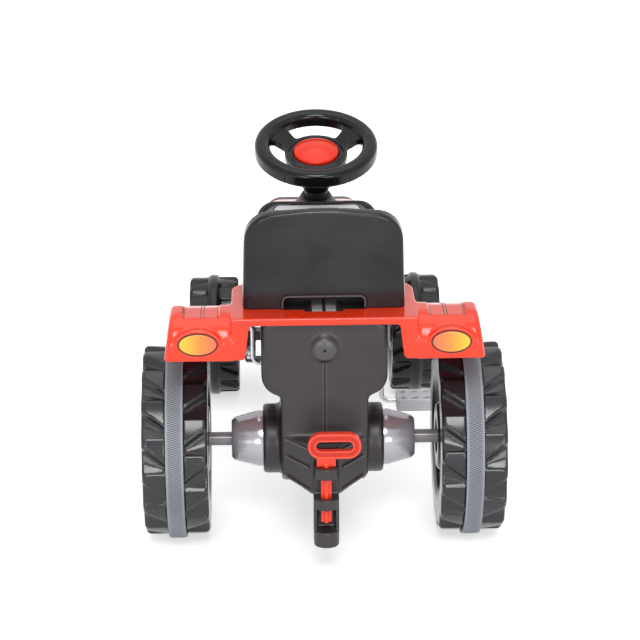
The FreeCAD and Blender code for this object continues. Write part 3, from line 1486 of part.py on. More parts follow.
grille_half = BONNET_FRONT_HALF
grille_back = ahead(BONNET_FRONT)
grille_front = ahead(FRONT_REACH)
grille = rear_prism(
    [
        (-grille_half + GRILLE_TAPER, GRILLE_BOTTOM, GRILLE_ROUND),
        (grille_half - GRILLE_TAPER, GRILLE_BOTTOM, GRILLE_ROUND),
        (grille_half, GRILLE_WAIST, GRILLE_ROUND),
        (grille_half, BONNET_FRONT_TOP, BONNET_CORNER),
        (-grille_half, BONNET_FRONT_TOP, BONNET_CORNER),
        (-grille_half, GRILLE_WAIST, GRILLE_ROUND),
    ],
    grille_back,
    grille_front,
)
grille = softened(grille, GRILLE_SOFT, "Y", (grille_front,))
slat_low = GRILLE_BOTTOM + GRILLE_ROUND
slat_high = HEADLIGHT_Z - HEADLIGHT_R - GRILLE_SOFT
slat_half = grille_half - SLAT_MARGIN
slat_step = (slat_high - slat_low) / GRILLE_SLATS
grille_cuts = []
for index in range(GRILLE_SLATS):
    z = slat_low + (index + 0.5) * slat_step
    slat = box(-slat_half, slat_half, grille_front - SLAT_SINK, grille_front + 1, z - SLAT_GAP, z + SLAT_GAP)
    grille_cuts.append(slat)
for name, x in (("right", HEADLIGHT_X), ("left", -HEADLIGHT_X)):
    base = V(x, grille_front - HEADLIGHT_DEEP, HEADLIGHT_Z)
    grille_cuts.append(Part.makeCylinder(HEADLIGHT_R, HEADLIGHT_DEEP + 1, base, V(0, 1, 0)))
    lamp = Part.makeCylinder(HEADLIGHT_R - SIDE_GAP / 2, HEADLIGHT_DEEP, base, V(0, 1, 0))
    parts["headlight_" + name] = softened(lamp, HEADLIGHT_SOFT, "Y", (grille_front,))
parts["front_grille"] = grille.cut(grille_cuts)

# Hitch bracket: two collars and a channel behind the tail, with a lift-out pin

collar_r = HITCH_HALF
hitch_pieces = []
for top in (COLLAR_TOP, LOWER_COLLAR_TOP):
    ring = rod_z(0, hitch_axis_y, top - COLLAR_HEIGHT, top, collar_r)
    arm = box(-collar_r, collar_r, hitch_axis_y, hitch_front, top - COLLAR_HEIGHT, top)
    hitch_pieces.append(ring.fuse(arm).removeSplitter())
spine = box(-collar_r, collar_r, hitch_front - HITCH_BACK_PLATE, hitch_front, BLOCK_BOTTOM, COLLAR_TOP)
foot = rod_z(0, hitch_axis_y, BLOCK_BOTTOM, BLOCK_TOP, collar_r)
foot_arm = box(-collar_r, collar_r, hitch_axis_y, hitch_front, BLOCK_BOTTOM, BLOCK_TOP)
walls = []
wall_top = LOWER_COLLAR_TOP - COLLAR_HEIGHT
for x in (-collar_r, collar_r - HITCH_WALL):
    walls.append(box(x, x + HITCH_WALL, hitch_axis_y - HITCH_WALL, hitch_front, BLOCK_TOP, wall_top))
pin_bore_r = math.hypot(PIN_WIDTH, PIN_RIB) / 2 + KNUCKLE_GAP
hitch = spine.fuse(hitch_pieces + [foot.fuse(foot_arm)] + walls)
hitch = hitch.cut(rod_z(0, hitch_axis_y, LOWER_COLLAR_TOP - COLLAR_HEIGHT - 1, COLLAR_TOP + 1, pin_bore_r))
hitch_bracket = hitch.removeSplitter()

pin_half = PIN_WIDTH / 2
rib_half = PIN_RIB / 2
pin_solids = []
for x, y in ((pin_half, rib_half), (rib_half, pin_half)):
    pin_solids.append(box(-x, x, hitch_axis_y - y, hitch_axis_y + y, PIN_BOTTOM, COLLAR_TOP + LOOP_LAP))
neck_half = PIN_NECK_WIDTH / 2
pin_y = hitch_axis_y - PIN_THICK / 2
neck_low = COLLAR_TOP + KNUCKLE_GAP
loop_low = neck_low + PIN_NECK_HEIGHT - LOOP_LAP
pin_solids.append(box(-neck_half, neck_half, pin_y, pin_y + PIN_THICK, neck_low, loop_low + LOOP_BAR / 2))


def loop_outline(inset, y_low, y_high):
    half = LOOP_WIDTH / 2 - inset
    low = loop_low + inset
    high = loop_low + LOOP_HEIGHT - inset
    turn = (high - low) / 2 - 0.01
    corners = [
        (LOOP_OFFSET - half, low, turn),
        (LOOP_OFFSET + half, low, turn),
        (LOOP_OFFSET + half, high, turn),
        (LOOP_OFFSET - half, high, turn),
    ]
    return rear_prism(corners, y_low, y_high)


loop = loop_outline(0, pin_y, pin_y + PIN_THICK)
pin_body = loop.fuse(pin_solids)
parts["hitch_pin"] = pin_body.cut(loop_outline(LOOP_BAR, pin_y - 1, pin_y + PIN_THICK + 1)).removeSplitter()

# Front axle beam, kingpins, knuckles and tie rod

beam_low = RIB_R - BEAM_HEIGHT / 2
beam = box(-KINGPIN_X, KINGPIN_X, FRONT_Y - BEAM_DEPTH / 2, FRONT_Y + BEAM_DEPTH / 2, beam_low, beam_top)
ears = [rod_z(x, FRONT_Y, beam_low, beam_top, EAR_R) for x in (KINGPIN_X, -KINGPIN_X)]
hole_r = KINGPIN_R + SEAT_GAP
pin_holes = [rod_z(x, FRONT_Y, beam_low - 1, beam_top + 1, hole_r) for x in (KINGPIN_X, -KINGPIN_X)]
front_beam = beam.fuse(ears).removeSplitter().cut(pin_holes)
plate_top = beam_top + KNUCKLE_GAP + KNUCKLE_PLATE
plate_low = beam_low - KNUCKLE_GAP - KNUCKLE_PLATE
kingpin = rod_z(KINGPIN_X, FRONT_Y, plate_low - KNUCKLE_GAP, plate_top + KNUCKLE_GAP, KINGPIN_R)
heads = []
for z in (plate_top + KNUCKLE_GAP, plate_low - KNUCKLE_GAP - PIN_HEAD):
    heads.append(rod_z(KINGPIN_X, FRONT_Y, z, z + PIN_HEAD, KINGPIN_R + PIN_HEAD))
kingpin = kingpin.fuse(heads).removeSplitter()
parts["kingpins"] = Part.makeCompound(both_sides(kingpin))

web_in = KINGPIN_X + EAR_R + WEB_GAP
web_out = FRONT_X - FRONT_HALF + SOCKET_DEPTH - KNUCKLE_GAP
plates = []
for low in (plate_low, beam_top + KNUCKLE_GAP):
    tab = box(KINGPIN_X, web_out, FRONT_Y - EAR_R, FRONT_Y + EAR_R, low, low + KNUCKLE_PLATE)
    plates.append(tab.fuse(rod_z(KINGPIN_X, FRONT_Y, low, low + KNUCKLE_PLATE, EAR_R)))
web = box(web_in, web_out, FRONT_Y - EAR_R, FRONT_Y + EAR_R, plate_low, plate_top)
stub_end = FRONT_X + FRONT_HALF - HUB_INSET - POCKET_DEPTH + AXLE_END
stub = rod_x(web_in, stub_end, FRONT_Y, RIB_R, STUB_R)
arm_y = FRONT_Y - KNUCKLE_ARM
arm = box(KINGPIN_X - ARM_HALF, KINGPIN_X + ARM_HALF, arm_y, FRONT_Y, plate_low, plate_low + KNUCKLE_PLATE)
arm_end = rod_z(KINGPIN_X, arm_y, plate_low, plate_low + KNUCKLE_PLATE, ARM_HALF)
knuckle = web.fuse(plates + [stub, arm, arm_end]).removeSplitter()
knuckle = knuckle.cut([
    rod_z(KINGPIN_X, FRONT_Y, plate_low - 1, plate_top + 1, KINGPIN_R + RUN_GAP),
    rod_z(KINGPIN_X, arm_y, plate_low - 1, plate_low + KNUCKLE_PLATE + 1, TIE_PIN_R + RUN_GAP),
])
parts["knuckle_right"] = knuckle
parts["knuckle_left"] = mirrored(knuckle)
front_nut_x = FRONT_X + FRONT_HALF - HUB_INSET - POCKET_DEPTH + KNUCKLE_GAP
front_nut = ring_x(front_nut_x, front_nut_x + NUT_THICK, STUB_R + SEAT_GAP, NUT_R)
front_nut = front_nut.translated(V(0, FRONT_Y, RIB_R))
parts["front_push_nut_right"] = front_nut
parts["front_push_nut_left"] = mirrored(front_nut)

tongue_end = pin_mid.y - SHAFT_R - PLAY_BACK - TIE_HALF
bar = box(-KINGPIN_X, KINGPIN_X, arm_y - TIE_HALF, arm_y + TIE_HALF, tie_low, tie_top)
bar_ends = [rod_z(x, arm_y, tie_low, tie_top, TIE_HALF) for x in (KINGPIN_X, -KINGPIN_X)]
slot_wide = SHAFT_R + PLAY_SIDE
tongue_half = slot_wide + TIE_HALF
tie_tongue = box(-tongue_half, tongue_half, tongue_end, arm_y, tie_low, tie_top)
slot_back = pin_mid.y - SHAFT_R - PLAY_BACK
slot_front = pin_mid.y + SHAFT_R + PLAY_FRONT
tie_slot = box(-slot_wide, slot_wide, slot_back, slot_front, tie_low - 1, tie_top + 1)
pin_cuts = [rod_z(x, arm_y, tie_low - 1, tie_top + 1, TIE_PIN_R + SEAT_GAP) for x in (KINGPIN_X, -KINGPIN_X)]
parts["tie_rod"] = bar.fuse(bar_ends + [tie_tongue]).removeSplitter().cut([tie_slot] + pin_cuts)
tie_pin = rod_z(KINGPIN_X, arm_y, tie_low - KNUCKLE_GAP, plate_low + KNUCKLE_PLATE + KNUCKLE_GAP, TIE_PIN_R)
tie_heads = []
for z in (tie_low - KNUCKLE_GAP - PIN_HEAD, plate_low + KNUCKLE_PLATE + KNUCKLE_GAP):
    tie_heads.append(rod_z(KINGPIN_X, arm_y, z, z + PIN_HEAD, TIE_PIN_R + PIN_HEAD))
tie_pin = tie_pin.fuse(tie_heads).removeSplitter()
parts["tie_rod_pins"] = Part.makeCompound(both_sides(tie_pin))

# Belly pan: plate that closes the chain tunnel from below

pan_half = TUB_HALF - PAN_INSET
pan_back = ahead(-PAN_BACK)
pan_front = ahead(PAN_FRONT)
pan_under = side_prism(
    [
        (pan_back, belly_low - PAN_THICK, 0),
        (pan_front, belly_low - PAN_THICK, 0),
        (pan_front, TUB_TOP, 0),
        (pan_back, TUB_TOP, 0),
    ],
    -pan_half,
    pan_half,
)
tub_drop = tub.translated(V(0, 0, -PAN_THICK))
belly_pan = pan_under.common(tub_drop).cut([tub, drum])

# Fasteners, as groups of like screws, and the holes that they sit in

up = V(0, 0, 1)
down = V(0, 0, -1)
pan_places = []
for index in range(PAN_SCREW_ROWS):
    for x in (-pan_half + PAN_SCREW_INSET, pan_half - PAN_SCREW_INSET):
        pan_places.append(V(x, ahead(PAN_SCREW_FRONT - index * PAN_SCREW_STEP), TUB_BOTTOM - PAN_THICK))
pan_screws = [fastener(p, up, SCREW_R, SCREW_LENGTH, SCREW_HEAD_R, SCREW_HEAD) for p in pan_places]
belly_pan = drilled(belly_pan, pan_places, up, SCREW_R, SCREW_LENGTH)
main_body = drilled(main_body, pan_places, up, SCREW_R, SCREW_LENGTH)
parts["belly_pan_screws"] = Part.makeCompound(pan_screws)

fender_places = []
for x in (-FENDER_SCREW_X, FENDER_SCREW_X):
    for distance in (FENDER_SCREW_REAR, FENDER_SCREW_FRONT):
        fender_places.append(V(x, ahead(distance), DECK_TOP))
fender_screws = [fastener(p, down, SCREW_R, SCREW_LENGTH, SCREW_HEAD_R, SCREW_HEAD) for p in fender_places]
parts["fender_screws"] = Part.makeCompound(fender_screws)
fender = drilled(fender, fender_places, down, SCREW_R, SCREW_LENGTH)
main_body = drilled(main_body, fender_places, down, SCREW_R, SCREW_LENGTH)
screw_room = SCREW_HEAD_R + HEAD_ROOM
screw_top = DECK_TOP + SCREW_HEAD + HEAD_ROOM
seat = seat.cut([rod_z(p.x, p.y, DECK_TOP - 1, screw_top, screw_room) for p in fender_places])

beam_bolt_length = BOLT_LENGTH + BEAM_HEIGHT
beam_places = [V(x, FRONT_Y, beam_low) for x in (-BEAM_BOLT_X, BEAM_BOLT_X)]
beam_bolts = [fastener(p, up, BOLT_R, beam_bolt_length, BOLT_HEAD_R, BOLT_HEAD) for p in beam_places]
parts["axle_beam_bolts"] = Part.makeCompound(beam_bolts)
parts["front_axle_beam"] = drilled(front_beam, beam_places, up, BOLT_R, beam_bolt_length)
main_body = drilled(main_body, beam_places, up, BOLT_R, beam_bolt_length)

bonnet_places = []
bonnet_taper = (BONNET_REAR_HALF - BONNET_FRONT_HALF) / (BONNET_FRONT - BONNET_REAR)
for distance in (BONNET_SCREW_REAR, BONNET_SCREW_FRONT):
    half = BONNET_REAR_HALF - bonnet_taper * (distance - BONNET_REAR - SCREW_HEAD_R)
    bonnet_places.append(V(half + SEAT_GAP, ahead(distance), BONNET_SCREW_Z))
inwards = V(-1, 0, 0)
screws = [fastener(p, inwards, SCREW_R, SCREW_LENGTH, SCREW_HEAD_R, SCREW_HEAD) for p in bonnet_places]
parts["bonnet_screws"] = Part.makeCompound(screws + [mirrored(screw) for screw in screws])
for turn in (lambda shape: shape, mirrored):
    bonnet = turn(drilled(turn(bonnet), bonnet_places, inwards, SCREW_R, SCREW_LENGTH))
    main_body = turn(drilled(turn(main_body), bonnet_places, inwards, SCREW_R, SCREW_LENGTH))

forward = V(0, 1, 0)
hitch_head_y = hitch_front - HITCH_BACK_PLATE + SCREW_HEAD
hitch_places = []
for side in (-HITCH_BOLT_SPREAD, HITCH_BOLT_SPREAD):
    hitch_places.append(V(0, hitch_head_y, HITCH_BOLT_Z + side))
hitch_bolts = [fastener(p, forward, BOLT_R, BOLT_LENGTH, SCREW_HEAD_R, SCREW_HEAD) for p in hitch_places]
parts["hitch_bolts"] = Part.makeCompound(hitch_bolts)
hitch_bracket = drilled(hitch_bracket, hitch_places, forward, BOLT_R, BOLT_LENGTH)
for place in hitch_places:
    sink = Part.makeCylinder(SCREW_HEAD_R + SIDE_GAP, SCREW_HEAD + CUT_OVER, place, V(0, -1, 0))
    hitch_bracket = hitch_bracket.cut(sink)
main_body = drilled(main_body, hitch_places, forward, BOLT_R, BOLT_LENGTH)

seat_floor = DECK_TOP + SEAT_BASE_HEIGHT - SEAT_DISH
seat_places = [V(x, ahead(SEAT_BOLT_AHEAD), seat_floor) for x in (-SEAT_BOLT_X, SEAT_BOLT_X)]
seat_bolts = [fastener(p, down, BOLT_R, SEAT_BOLT_LENGTH, BOLT_HEAD_R, BOLT_HEAD) for p in seat_places]
parts["seat_bolts"] = Part.makeCompound(seat_bolts)
seat = drilled(seat, seat_places, down, BOLT_R, SEAT_BOLT_LENGTH)
bolt_room = BOLT_HEAD_R + HEAD_ROOM
seat = seat.cut([rod_z(p.x, p.y, seat_floor, seat_floor + SEAT_DISH, bolt_room) for p in seat_places])
fender = drilled(fender, seat_places, down, BOLT_R, SEAT_BOLT_LENGTH)
main_body = drilled(main_body, seat_places, down, BOLT_R, SEAT_BOLT_LENGTH)

parts["main_body"] = main_body
parts["belly_pan"] = belly_pan
parts["bonnet"] = bonnet
parts["fender"] = fender
parts["seat"] = seat
parts["hitch_bracket"] = hitch_bracket

os.makedirs("parts", exist_ok=True)
for name, shape in parts.items():
    if not shape.isValid():
        print("not valid:", name)
    shape.exportStep(os.path.join("parts", name + ".step"))
    print(name, len(shape.Solids), "solids", round(shape.Volume / 1000, 1), "cm3")
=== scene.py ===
import bpy
import bmesh
import math
from mathutils import Matrix, Vector
from mathutils.bvhtree import BVHTree


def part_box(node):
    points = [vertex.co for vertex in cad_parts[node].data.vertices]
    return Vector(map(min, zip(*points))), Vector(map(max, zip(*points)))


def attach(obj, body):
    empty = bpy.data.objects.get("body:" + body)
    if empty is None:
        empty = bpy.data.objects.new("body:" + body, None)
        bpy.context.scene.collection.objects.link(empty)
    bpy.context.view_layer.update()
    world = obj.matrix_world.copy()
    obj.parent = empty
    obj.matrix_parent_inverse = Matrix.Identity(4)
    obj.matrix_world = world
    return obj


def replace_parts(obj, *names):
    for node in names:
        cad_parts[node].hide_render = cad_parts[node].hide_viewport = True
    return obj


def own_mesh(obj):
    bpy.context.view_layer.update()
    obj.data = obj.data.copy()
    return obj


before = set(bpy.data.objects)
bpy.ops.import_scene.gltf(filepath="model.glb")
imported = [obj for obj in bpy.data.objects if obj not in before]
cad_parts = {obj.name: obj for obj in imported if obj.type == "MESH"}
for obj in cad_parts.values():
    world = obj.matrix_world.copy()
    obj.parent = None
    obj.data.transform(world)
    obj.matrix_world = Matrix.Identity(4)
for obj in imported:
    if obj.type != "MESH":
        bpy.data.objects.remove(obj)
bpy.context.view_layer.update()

# Main body: the long black tub with the seat pedestal, the wedge tail and the cowl.
# Blow-moulded polyethylene, so every edge is soft and the skin is satin with faint clouding.
# Made from the solid's own surface, remeshed and smoothed; it carries everything else.

CLOUD_NOISE = (14, 5)
CLOUD_SPAN = (0.34, 0.68)
EDGE_SPAN = (0.53, 0.66)
EDGE_WEAR = 0.55
SCUFF_STRETCH = (0.2, 1, 4)
SCUFF_NOISE = (120, 4)
SCUFF_SPAN = (0.60, 0.80)
SCUFF_WEAR = 0.30
PATCH_NOISE = (38, 6)
PATCH_SPAN = (0.3, 0.7)
SKIN_DETAIL = 3
SKIN_DEPTH = 0.0006
MIX_FACTOR, MIX_UNDER, MIX_OVER, MIX_RESULT = 0, 6, 7, 2
WELD = 1e-5
EASE = 0.5
SHARP = math.radians(32)


def noise(tree, place, scale, detail):
    """Grey noise over the given coordinates."""
    texture = tree.nodes.new("ShaderNodeTexNoise")
    texture.inputs["Scale"].default_value = scale
    texture.inputs["Detail"].default_value = detail
    tree.links.new(place, texture.inputs["Vector"])
    return texture.outputs["Fac"]


def ranged(tree, value, span, result):
    """A value stretched from one span to another, and held inside it."""
    stretch = tree.nodes.new("ShaderNodeMapRange")
    stretch.inputs["From Min"].default_value, stretch.inputs["From Max"].default_value = span
    stretch.inputs["To Min"].default_value, stretch.inputs["To Max"].default_value = result
    tree.links.new(value, stretch.inputs["Value"])
    return stretch.outputs["Result"]


def blended(tree, value, first, last):
    """Ramp between two colours along a value; each is a pair of position and colour."""
    ramp = tree.nodes.new("ShaderNodeValToRGB")
    for stop, (position, colour) in zip(ramp.color_ramp.elements, (first, last)):
        stop.position = position
        stop.color = (*colour, 1)
    tree.links.new(value, ramp.inputs["Fac"])
    return ramp


def larger(tree, first, second):
    """The larger of two values."""
    pick = tree.nodes.new("ShaderNodeMath")
    pick.operation = "MAXIMUM"
    tree.links.new(first, pick.inputs[0])
    tree.links.new(second, pick.inputs[1])
    return pick.outputs["Value"]


def blank_finish(name):
    """New material, with its node tree and its shader."""
    finish = bpy.data.materials.new(name)
    finish.use_nodes = True
    return finish, finish.node_tree, finish.node_tree.nodes["Principled BSDF"]


def pigmented(name, deep, pale, rub, gloss, grain, shine):
    """Coloured plastic: cloudy pigment, patchy gloss, a fine skin, faint scuffs and edges rubbed paler."""
    finish, tree, shader = blank_finish(name)
    shader.inputs["Specular IOR Level"].default_value = shine
    place = tree.nodes.new("ShaderNodeTexCoord").outputs["Object"]
    cloud = noise(tree, place, *CLOUD_NOISE)
    pigment = blended(tree, cloud, (CLOUD_SPAN[0], deep), (CLOUD_SPAN[1], pale))
    pointed = tree.nodes.new("ShaderNodeNewGeometry").outputs["Pointiness"]
    edge = ranged(tree, pointed, EDGE_SPAN, (0, EDGE_WEAR))
    sweep = tree.nodes.new("ShaderNodeMapping")
    sweep.inputs["Scale"].default_value = SCUFF_STRETCH
    tree.links.new(place, sweep.inputs["Vector"])
    scrape = noise(tree, sweep.outputs["Vector"], *SCUFF_NOISE)
    scuff = ranged(tree, scrape, SCUFF_SPAN, (0, SCUFF_WEAR))
    worn = tree.nodes.new("ShaderNodeMix")
    worn.data_type = "RGBA"
    worn.inputs[MIX_OVER].default_value = (*rub, 1)
    tree.links.new(larger(tree, edge, scuff), worn.inputs[MIX_FACTOR])
    tree.links.new(pigment.outputs["Color"], worn.inputs[MIX_UNDER])
    tree.links.new(worn.outputs[MIX_RESULT], shader.inputs["Base Color"])
    patch = noise(tree, place, *PATCH_NOISE)
    tree.links.new(ranged(tree, patch, PATCH_SPAN, gloss), shader.inputs["Roughness"])
    grain_scale, grain_strength = grain
    skin = tree.nodes.new("ShaderNodeBump")
    skin.inputs["Strength"].default_value = grain_strength
    skin.inputs["Distance"].default_value = SKIN_DEPTH
    tree.links.new(noise(tree, place, grain_scale, SKIN_DETAIL), skin.inputs["Height"])
    tree.links.new(skin.outputs["Normal"], shader.inputs["Normal"])
    return finish


def welded(node):
    """Copy of a solid's surface with its doubled corners joined."""
    form = bmesh.new()
    form.from_mesh(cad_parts[node].data)
    bmesh.ops.remove_doubles(form, verts=form.verts, dist=WELD)
    return form


def piece_of(name, form, finish, body):
    """A finished bmesh as a piece that rides on a body."""
    mesh = bpy.data.meshes.new(name)
    bmesh.ops.recalc_face_normals(form, faces=form.faces)
    form.to_mesh(mesh)
    form.free()
    mesh.materials.append(finish)
    piece = bpy.data.objects.new(name, mesh)
    bpy.context.scene.collection.objects.link(piece)
    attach(piece, body)
    return piece


def moulded(node, finish, body, voxel, rounds):
    """A solid drawn again as a moulding: even mesh over the surface, its edges eased by smoothing."""
    piece = piece_of(node + "_moulding", welded(node), finish, body)
    skin = piece.modifiers.new("skin", "REMESH")
    skin.mode = "VOXEL"
    skin.voxel_size = voxel
    ease = piece.modifiers.new("ease", "SMOOTH")
    ease.factor = EASE
    ease.iterations = rounds
    view = bpy.context.evaluated_depsgraph_get()
    piece.data = bpy.data.meshes.new_from_object(piece.evaluated_get(view))
    piece.modifiers.clear()
    piece.data.shade_smooth()
    piece.data.materials.clear()
    piece.data.materials.append(finish)
    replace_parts(piece, node)
    return piece


def sharpened(form):
    """Marks the true corners of a smooth form as sharp."""
    for edge in form.edges:
        edge.smooth = edge.calc_face_angle(0) < SHARP


def crisp(node, finish, body):
    """A solid drawn as a hard part: its own faces, round ones smooth and true corners sharp."""
    form = welded(node)
    for face in form.faces:
        face.smooth = True
    sharpened(form)
    piece = piece_of(node + "_surface", form, finish, body)
    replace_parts(piece, node)
    return piece


body_black = pigmented(
    "body_black_satin", deep=(0.0255, 0.0205, 0.0238), pale=(0.0325, 0.0268, 0.0308),
    rub=(0.075, 0.068, 0.072), gloss=(0.34, 0.39), grain=(620, 0.05), shine=0.44)
moulded("main_body", body_black, "chassis", voxel=0.0033, rounds=6)

# Seams and boss of the body: the parting line down the back, the ridges of the wedge tail and a domed boss.
# The same black plastic, dark in the parting line and the boss's hole with painted shade, and a little paler
# on the ridges and the boss with painted highlights.
# Thin ridges laid on the back face and along the wedge's two sides; the boss is turned round its hole.

SIDES = {"left": -1, "right": 1}
BACKWARD = Vector((0, -1, 0))
UPWARD = Vector((0, 0, 1))
BACK_Y = -0.3955
SEAM_TOP = 0.304
SEAM_FOOT = 0.197
SEAM_WIDTH = 0.0011
SEAM_RISE = 0.0003
BESIDE_TOP = 0.302
BESIDE_WIDTH = 0.0022
BESIDE_RISE = 0.0004
WEDGE_SIDE = Vector((0.060, -0.3935, 0))
WEDGE_END = Vector((0.0195, -0.4262, 0))
WEDGE_RIDGES = ((0.1932, 0.1872), (0.1682, 0.1606), (0.1385, 0.1278))
RIDGE_START = 0.14
RIDGE_END = 0.90
RIDGE_WIDTH = 0.0016
RIDGE_RISE = 0.0007
STRIP_SINK = 0.002
STRIP_STEPS = 8
# Paler black: painted highlights on the wedge ridges, the boss dome and the lip of the hand slot.
painted_highlight_black = pigmented(
    "painted_highlight_black", deep=(0.046, 0.040, 0.044), pale=(0.070, 0.063, 0.067),
    rub=(0.13, 0.12, 0.125), gloss=(0.24, 0.36), grain=(500, 0.04), shine=0.5)
# Near-black: painted shade in the parting line, the hitch seams and the boss's hole, and the print of the
# dials.
shade_and_print_black = pigmented(
    "shade_and_print_black", deep=(0.0030, 0.0026, 0.0030), pale=(0.0055, 0.0048, 0.0054),
    rub=(0.01, 0.01, 0.01), gloss=(0.5, 0.7), grain=(500, 0.04), shine=0.2)


def row(start, end, steps):
    """Evenly spaced points on a straight line."""
    return [start.lerp(end, step / steps) for step in range(steps + 1)]


def thickened(form, lift):
    """Grows a flat form into a body along a vector."""
    grown = bmesh.ops.extrude_face_region(form, geom=form.faces[:])["geom"]
    crest = [item for item in grown if isinstance(item, bmesh.types.BMVert)]
    bmesh.ops.translate(form, verts=crest, vec=lift)


def raised_strip(name, points, out, finish, width, rise, sink):
    """Thin ridge on the chassis along a row of points on a surface, standing up along out."""
    form = bmesh.new()
    rails = []
    for index, spot in enumerate(points):
        run = points[min(index + 1, len(points) - 1)] - points[max(index - 1, 0)]
        aside = run.cross(out).normalized() * width / 2
        foot = spot - out * sink
        rails.append((form.verts.new(foot - aside), form.verts.new(foot + aside)))
    for (a, b), (c, d) in zip(rails, rails[1:]):
        form.faces.new((a, b, d, c))
    thickened(form, out * (sink + rise))
    piece_of(name, form, finish, "chassis")


def down_back(x, top):
    """Row of points down the flat back of the body to the foot of the seam."""
    return row(Vector((x, BACK_Y, top)), Vector((x, BACK_Y, SEAM_FOOT)), STRIP_STEPS)


# Near-black strip down the parting line: painted shade.
raised_strip("seam_painted_shade", down_back(0, SEAM_TOP), BACKWARD, shade_and_print_black,
             width=SEAM_WIDTH, rise=SEAM_RISE, sink=STRIP_SINK)
for side, sign in SIDES.items():
    raised_strip("seam_light_" + side, down_back(sign * BESIDE_WIDTH, BESIDE_TOP), BACKWARD, body_black,
                 width=BESIDE_WIDTH, rise=BESIDE_RISE, sink=STRIP_SINK)
for side, sign in SIDES.items():
    near = Vector((WEDGE_SIDE.x * sign, WEDGE_SIDE.y, 0))
    far = Vector((WEDGE_END.x * sign, WEDGE_END.y, 0))
    face_out = (far - near).cross(UPWARD).normalized() * sign
    for index, (start_z, end_z) in enumerate(WEDGE_RIDGES):
        start = near.lerp(far, RIDGE_START) + UPWARD * start_z
        end = near.lerp(far, RIDGE_END) + UPWARD * end_z
        # The ridges are a paler black than the body: painted highlights along the wedge's creases.
        raised_strip("wedge_ridge_%s_%d" % (side, index), row(start, end, STRIP_STEPS), face_out, painted_highlight_black,
                     width=RIDGE_WIDTH, rise=RIDGE_RISE, sink=STRIP_SINK)

BOSS_AT = Vector((0, -0.4025, 0.324))
BOSS_R = 0.0165
BOSS_RISE = 0.0042
BOSS_SINK = 0.0012
BOSS_HOLE_R = 0.0024
BOSS_HOLE_FLOOR = 0.001
DOME_POINTS = 10
DOME_STEPS = 48
HOLE_STEPS = 24
SPIN_WELD = 1e-6


def spun(outline, centre, axis, steps):
    """Turned form: a row of points swept once round an axis."""
    form = bmesh.new()
    verts = [form.verts.new(point) for point in outline]
    edges = [form.edges.new(pair) for pair in zip(verts, verts[1:])]
    bmesh.ops.spin(form, geom=verts + edges, cent=centre, axis=axis, angle=2 * math.pi, steps=steps,
                   use_merge=True)
    bmesh.ops.remove_doubles(form, verts=form.verts, dist=SPIN_WELD)
    for face in form.faces:
        face.smooth = True
    return form


dome_line = []
for step in range(DOME_POINTS + 1):
    reach = BOSS_HOLE_R + (BOSS_R - BOSS_HOLE_R) * step / DOME_POINTS
    rise = BOSS_RISE * math.sqrt(1 - (reach / BOSS_R) ** 2)
    dome_line.append(BOSS_AT + Vector((reach, BOSS_SINK - rise, 0)))
hole_line = [BOSS_AT + Vector((reach, BOSS_HOLE_FLOOR, 0)) for reach in (0, BOSS_HOLE_R)] + dome_line[:1]
# The dome is paler than the body as a painted highlight; the hole is near-black as painted shade.
piece_of("boss_dome", spun(dome_line, BOSS_AT, (0, 1, 0), DOME_STEPS), painted_highlight_black, "chassis")
piece_of("boss_hole", spun(hole_line, BOSS_AT, (0, 1, 0), HOLE_STEPS), shade_and_print_black, "chassis")

# Belly pan: the black cover under the chain drive.
# Thin sheet of the same plastic, with the faces of its solid.
# Held up to the tub by its screws.

crisp("belly_pan", body_black, "chassis")

# Screws and bolts: fixings of the pan, fender, beam, bonnet, hitch and seat.
# Plated steel, finely mottled in tone and gloss.
# Each stays in the hole it was drawn in.

MOTTLE_NOISE = (160, 4)
MOTTLE_SPAN = (0.3, 0.7)


def bare_metal(name, deep, pale, gloss):
    """Metal, finely mottled in tone and gloss."""
    finish, tree, shader = blank_finish(name)
    shader.inputs["Metallic"].default_value = 1
    place = tree.nodes.new("ShaderNodeTexCoord").outputs["Object"]
    mottle = noise(tree, place, *MOTTLE_NOISE)
    tone = blended(tree, mottle, (MOTTLE_SPAN[0], deep), (MOTTLE_SPAN[1], pale))
    tree.links.new(tone.outputs["Color"], shader.inputs["Base Color"])
    tree.links.new(ranged(tree, mottle, (0, 1), gloss), shader.inputs["Roughness"])
    return finish


plated_steel = bare_metal(
    "plated_steel", deep=(0.52, 0.52, 0.54), pale=(0.68, 0.68, 0.70), gloss=(0.14, 0.30))
for fixing in ("belly_pan_screws", "fender_screws", "axle_beam_bolts", "bonnet_screws", "hitch_bolts",
               "seat_bolts"):
    crisp(fixing, plated_steel, "chassis")

# Rear axle: steel rod inside grey cones and sleeves, with a push nut at each end.
# The cones are glossy grey nylon that mirrors a little of the red above, the sleeves a darker grey.
# The cones sit on the body's drums; the rod turns inside them.

CONE_METALLIC = 0.5
axle_grey = pigmented(
    "axle_grey_nylon", deep=(0.405, 0.390, 0.430), pale=(0.470, 0.455, 0.495),
    rub=(0.45, 0.45, 0.47), gloss=(0.13, 0.20), grain=(500, 0.03), shine=0.9)
axle_grey.node_tree.nodes["Principled BSDF"].inputs["Metallic"].default_value = CONE_METALLIC
sleeve_grey = pigmented(
    "sleeve_grey_nylon", deep=(0.170, 0.155, 0.170), pale=(0.215, 0.200, 0.215),
    rub=(0.28, 0.27, 0.29), gloss=(0.16, 0.26), grain=(500, 0.03), shine=0.6)
for side in SIDES:
    crisp("axle_housing_" + side, axle_grey, "chassis")
    crisp("axle_sleeve_" + side, sleeve_grey, "chassis")
crisp("rear_axle", plated_steel, "rear_axle")
crisp("rear_push_nuts", plated_steel, "rear_axle")

# Crank and pedals: bent rod through the tub with a pedal on each end.
# Bright plated rod, grey nylon bushes, pale grey pedals with two rows of holes.
# The rod keeps its solid; the pedals are drawn again as mouldings.

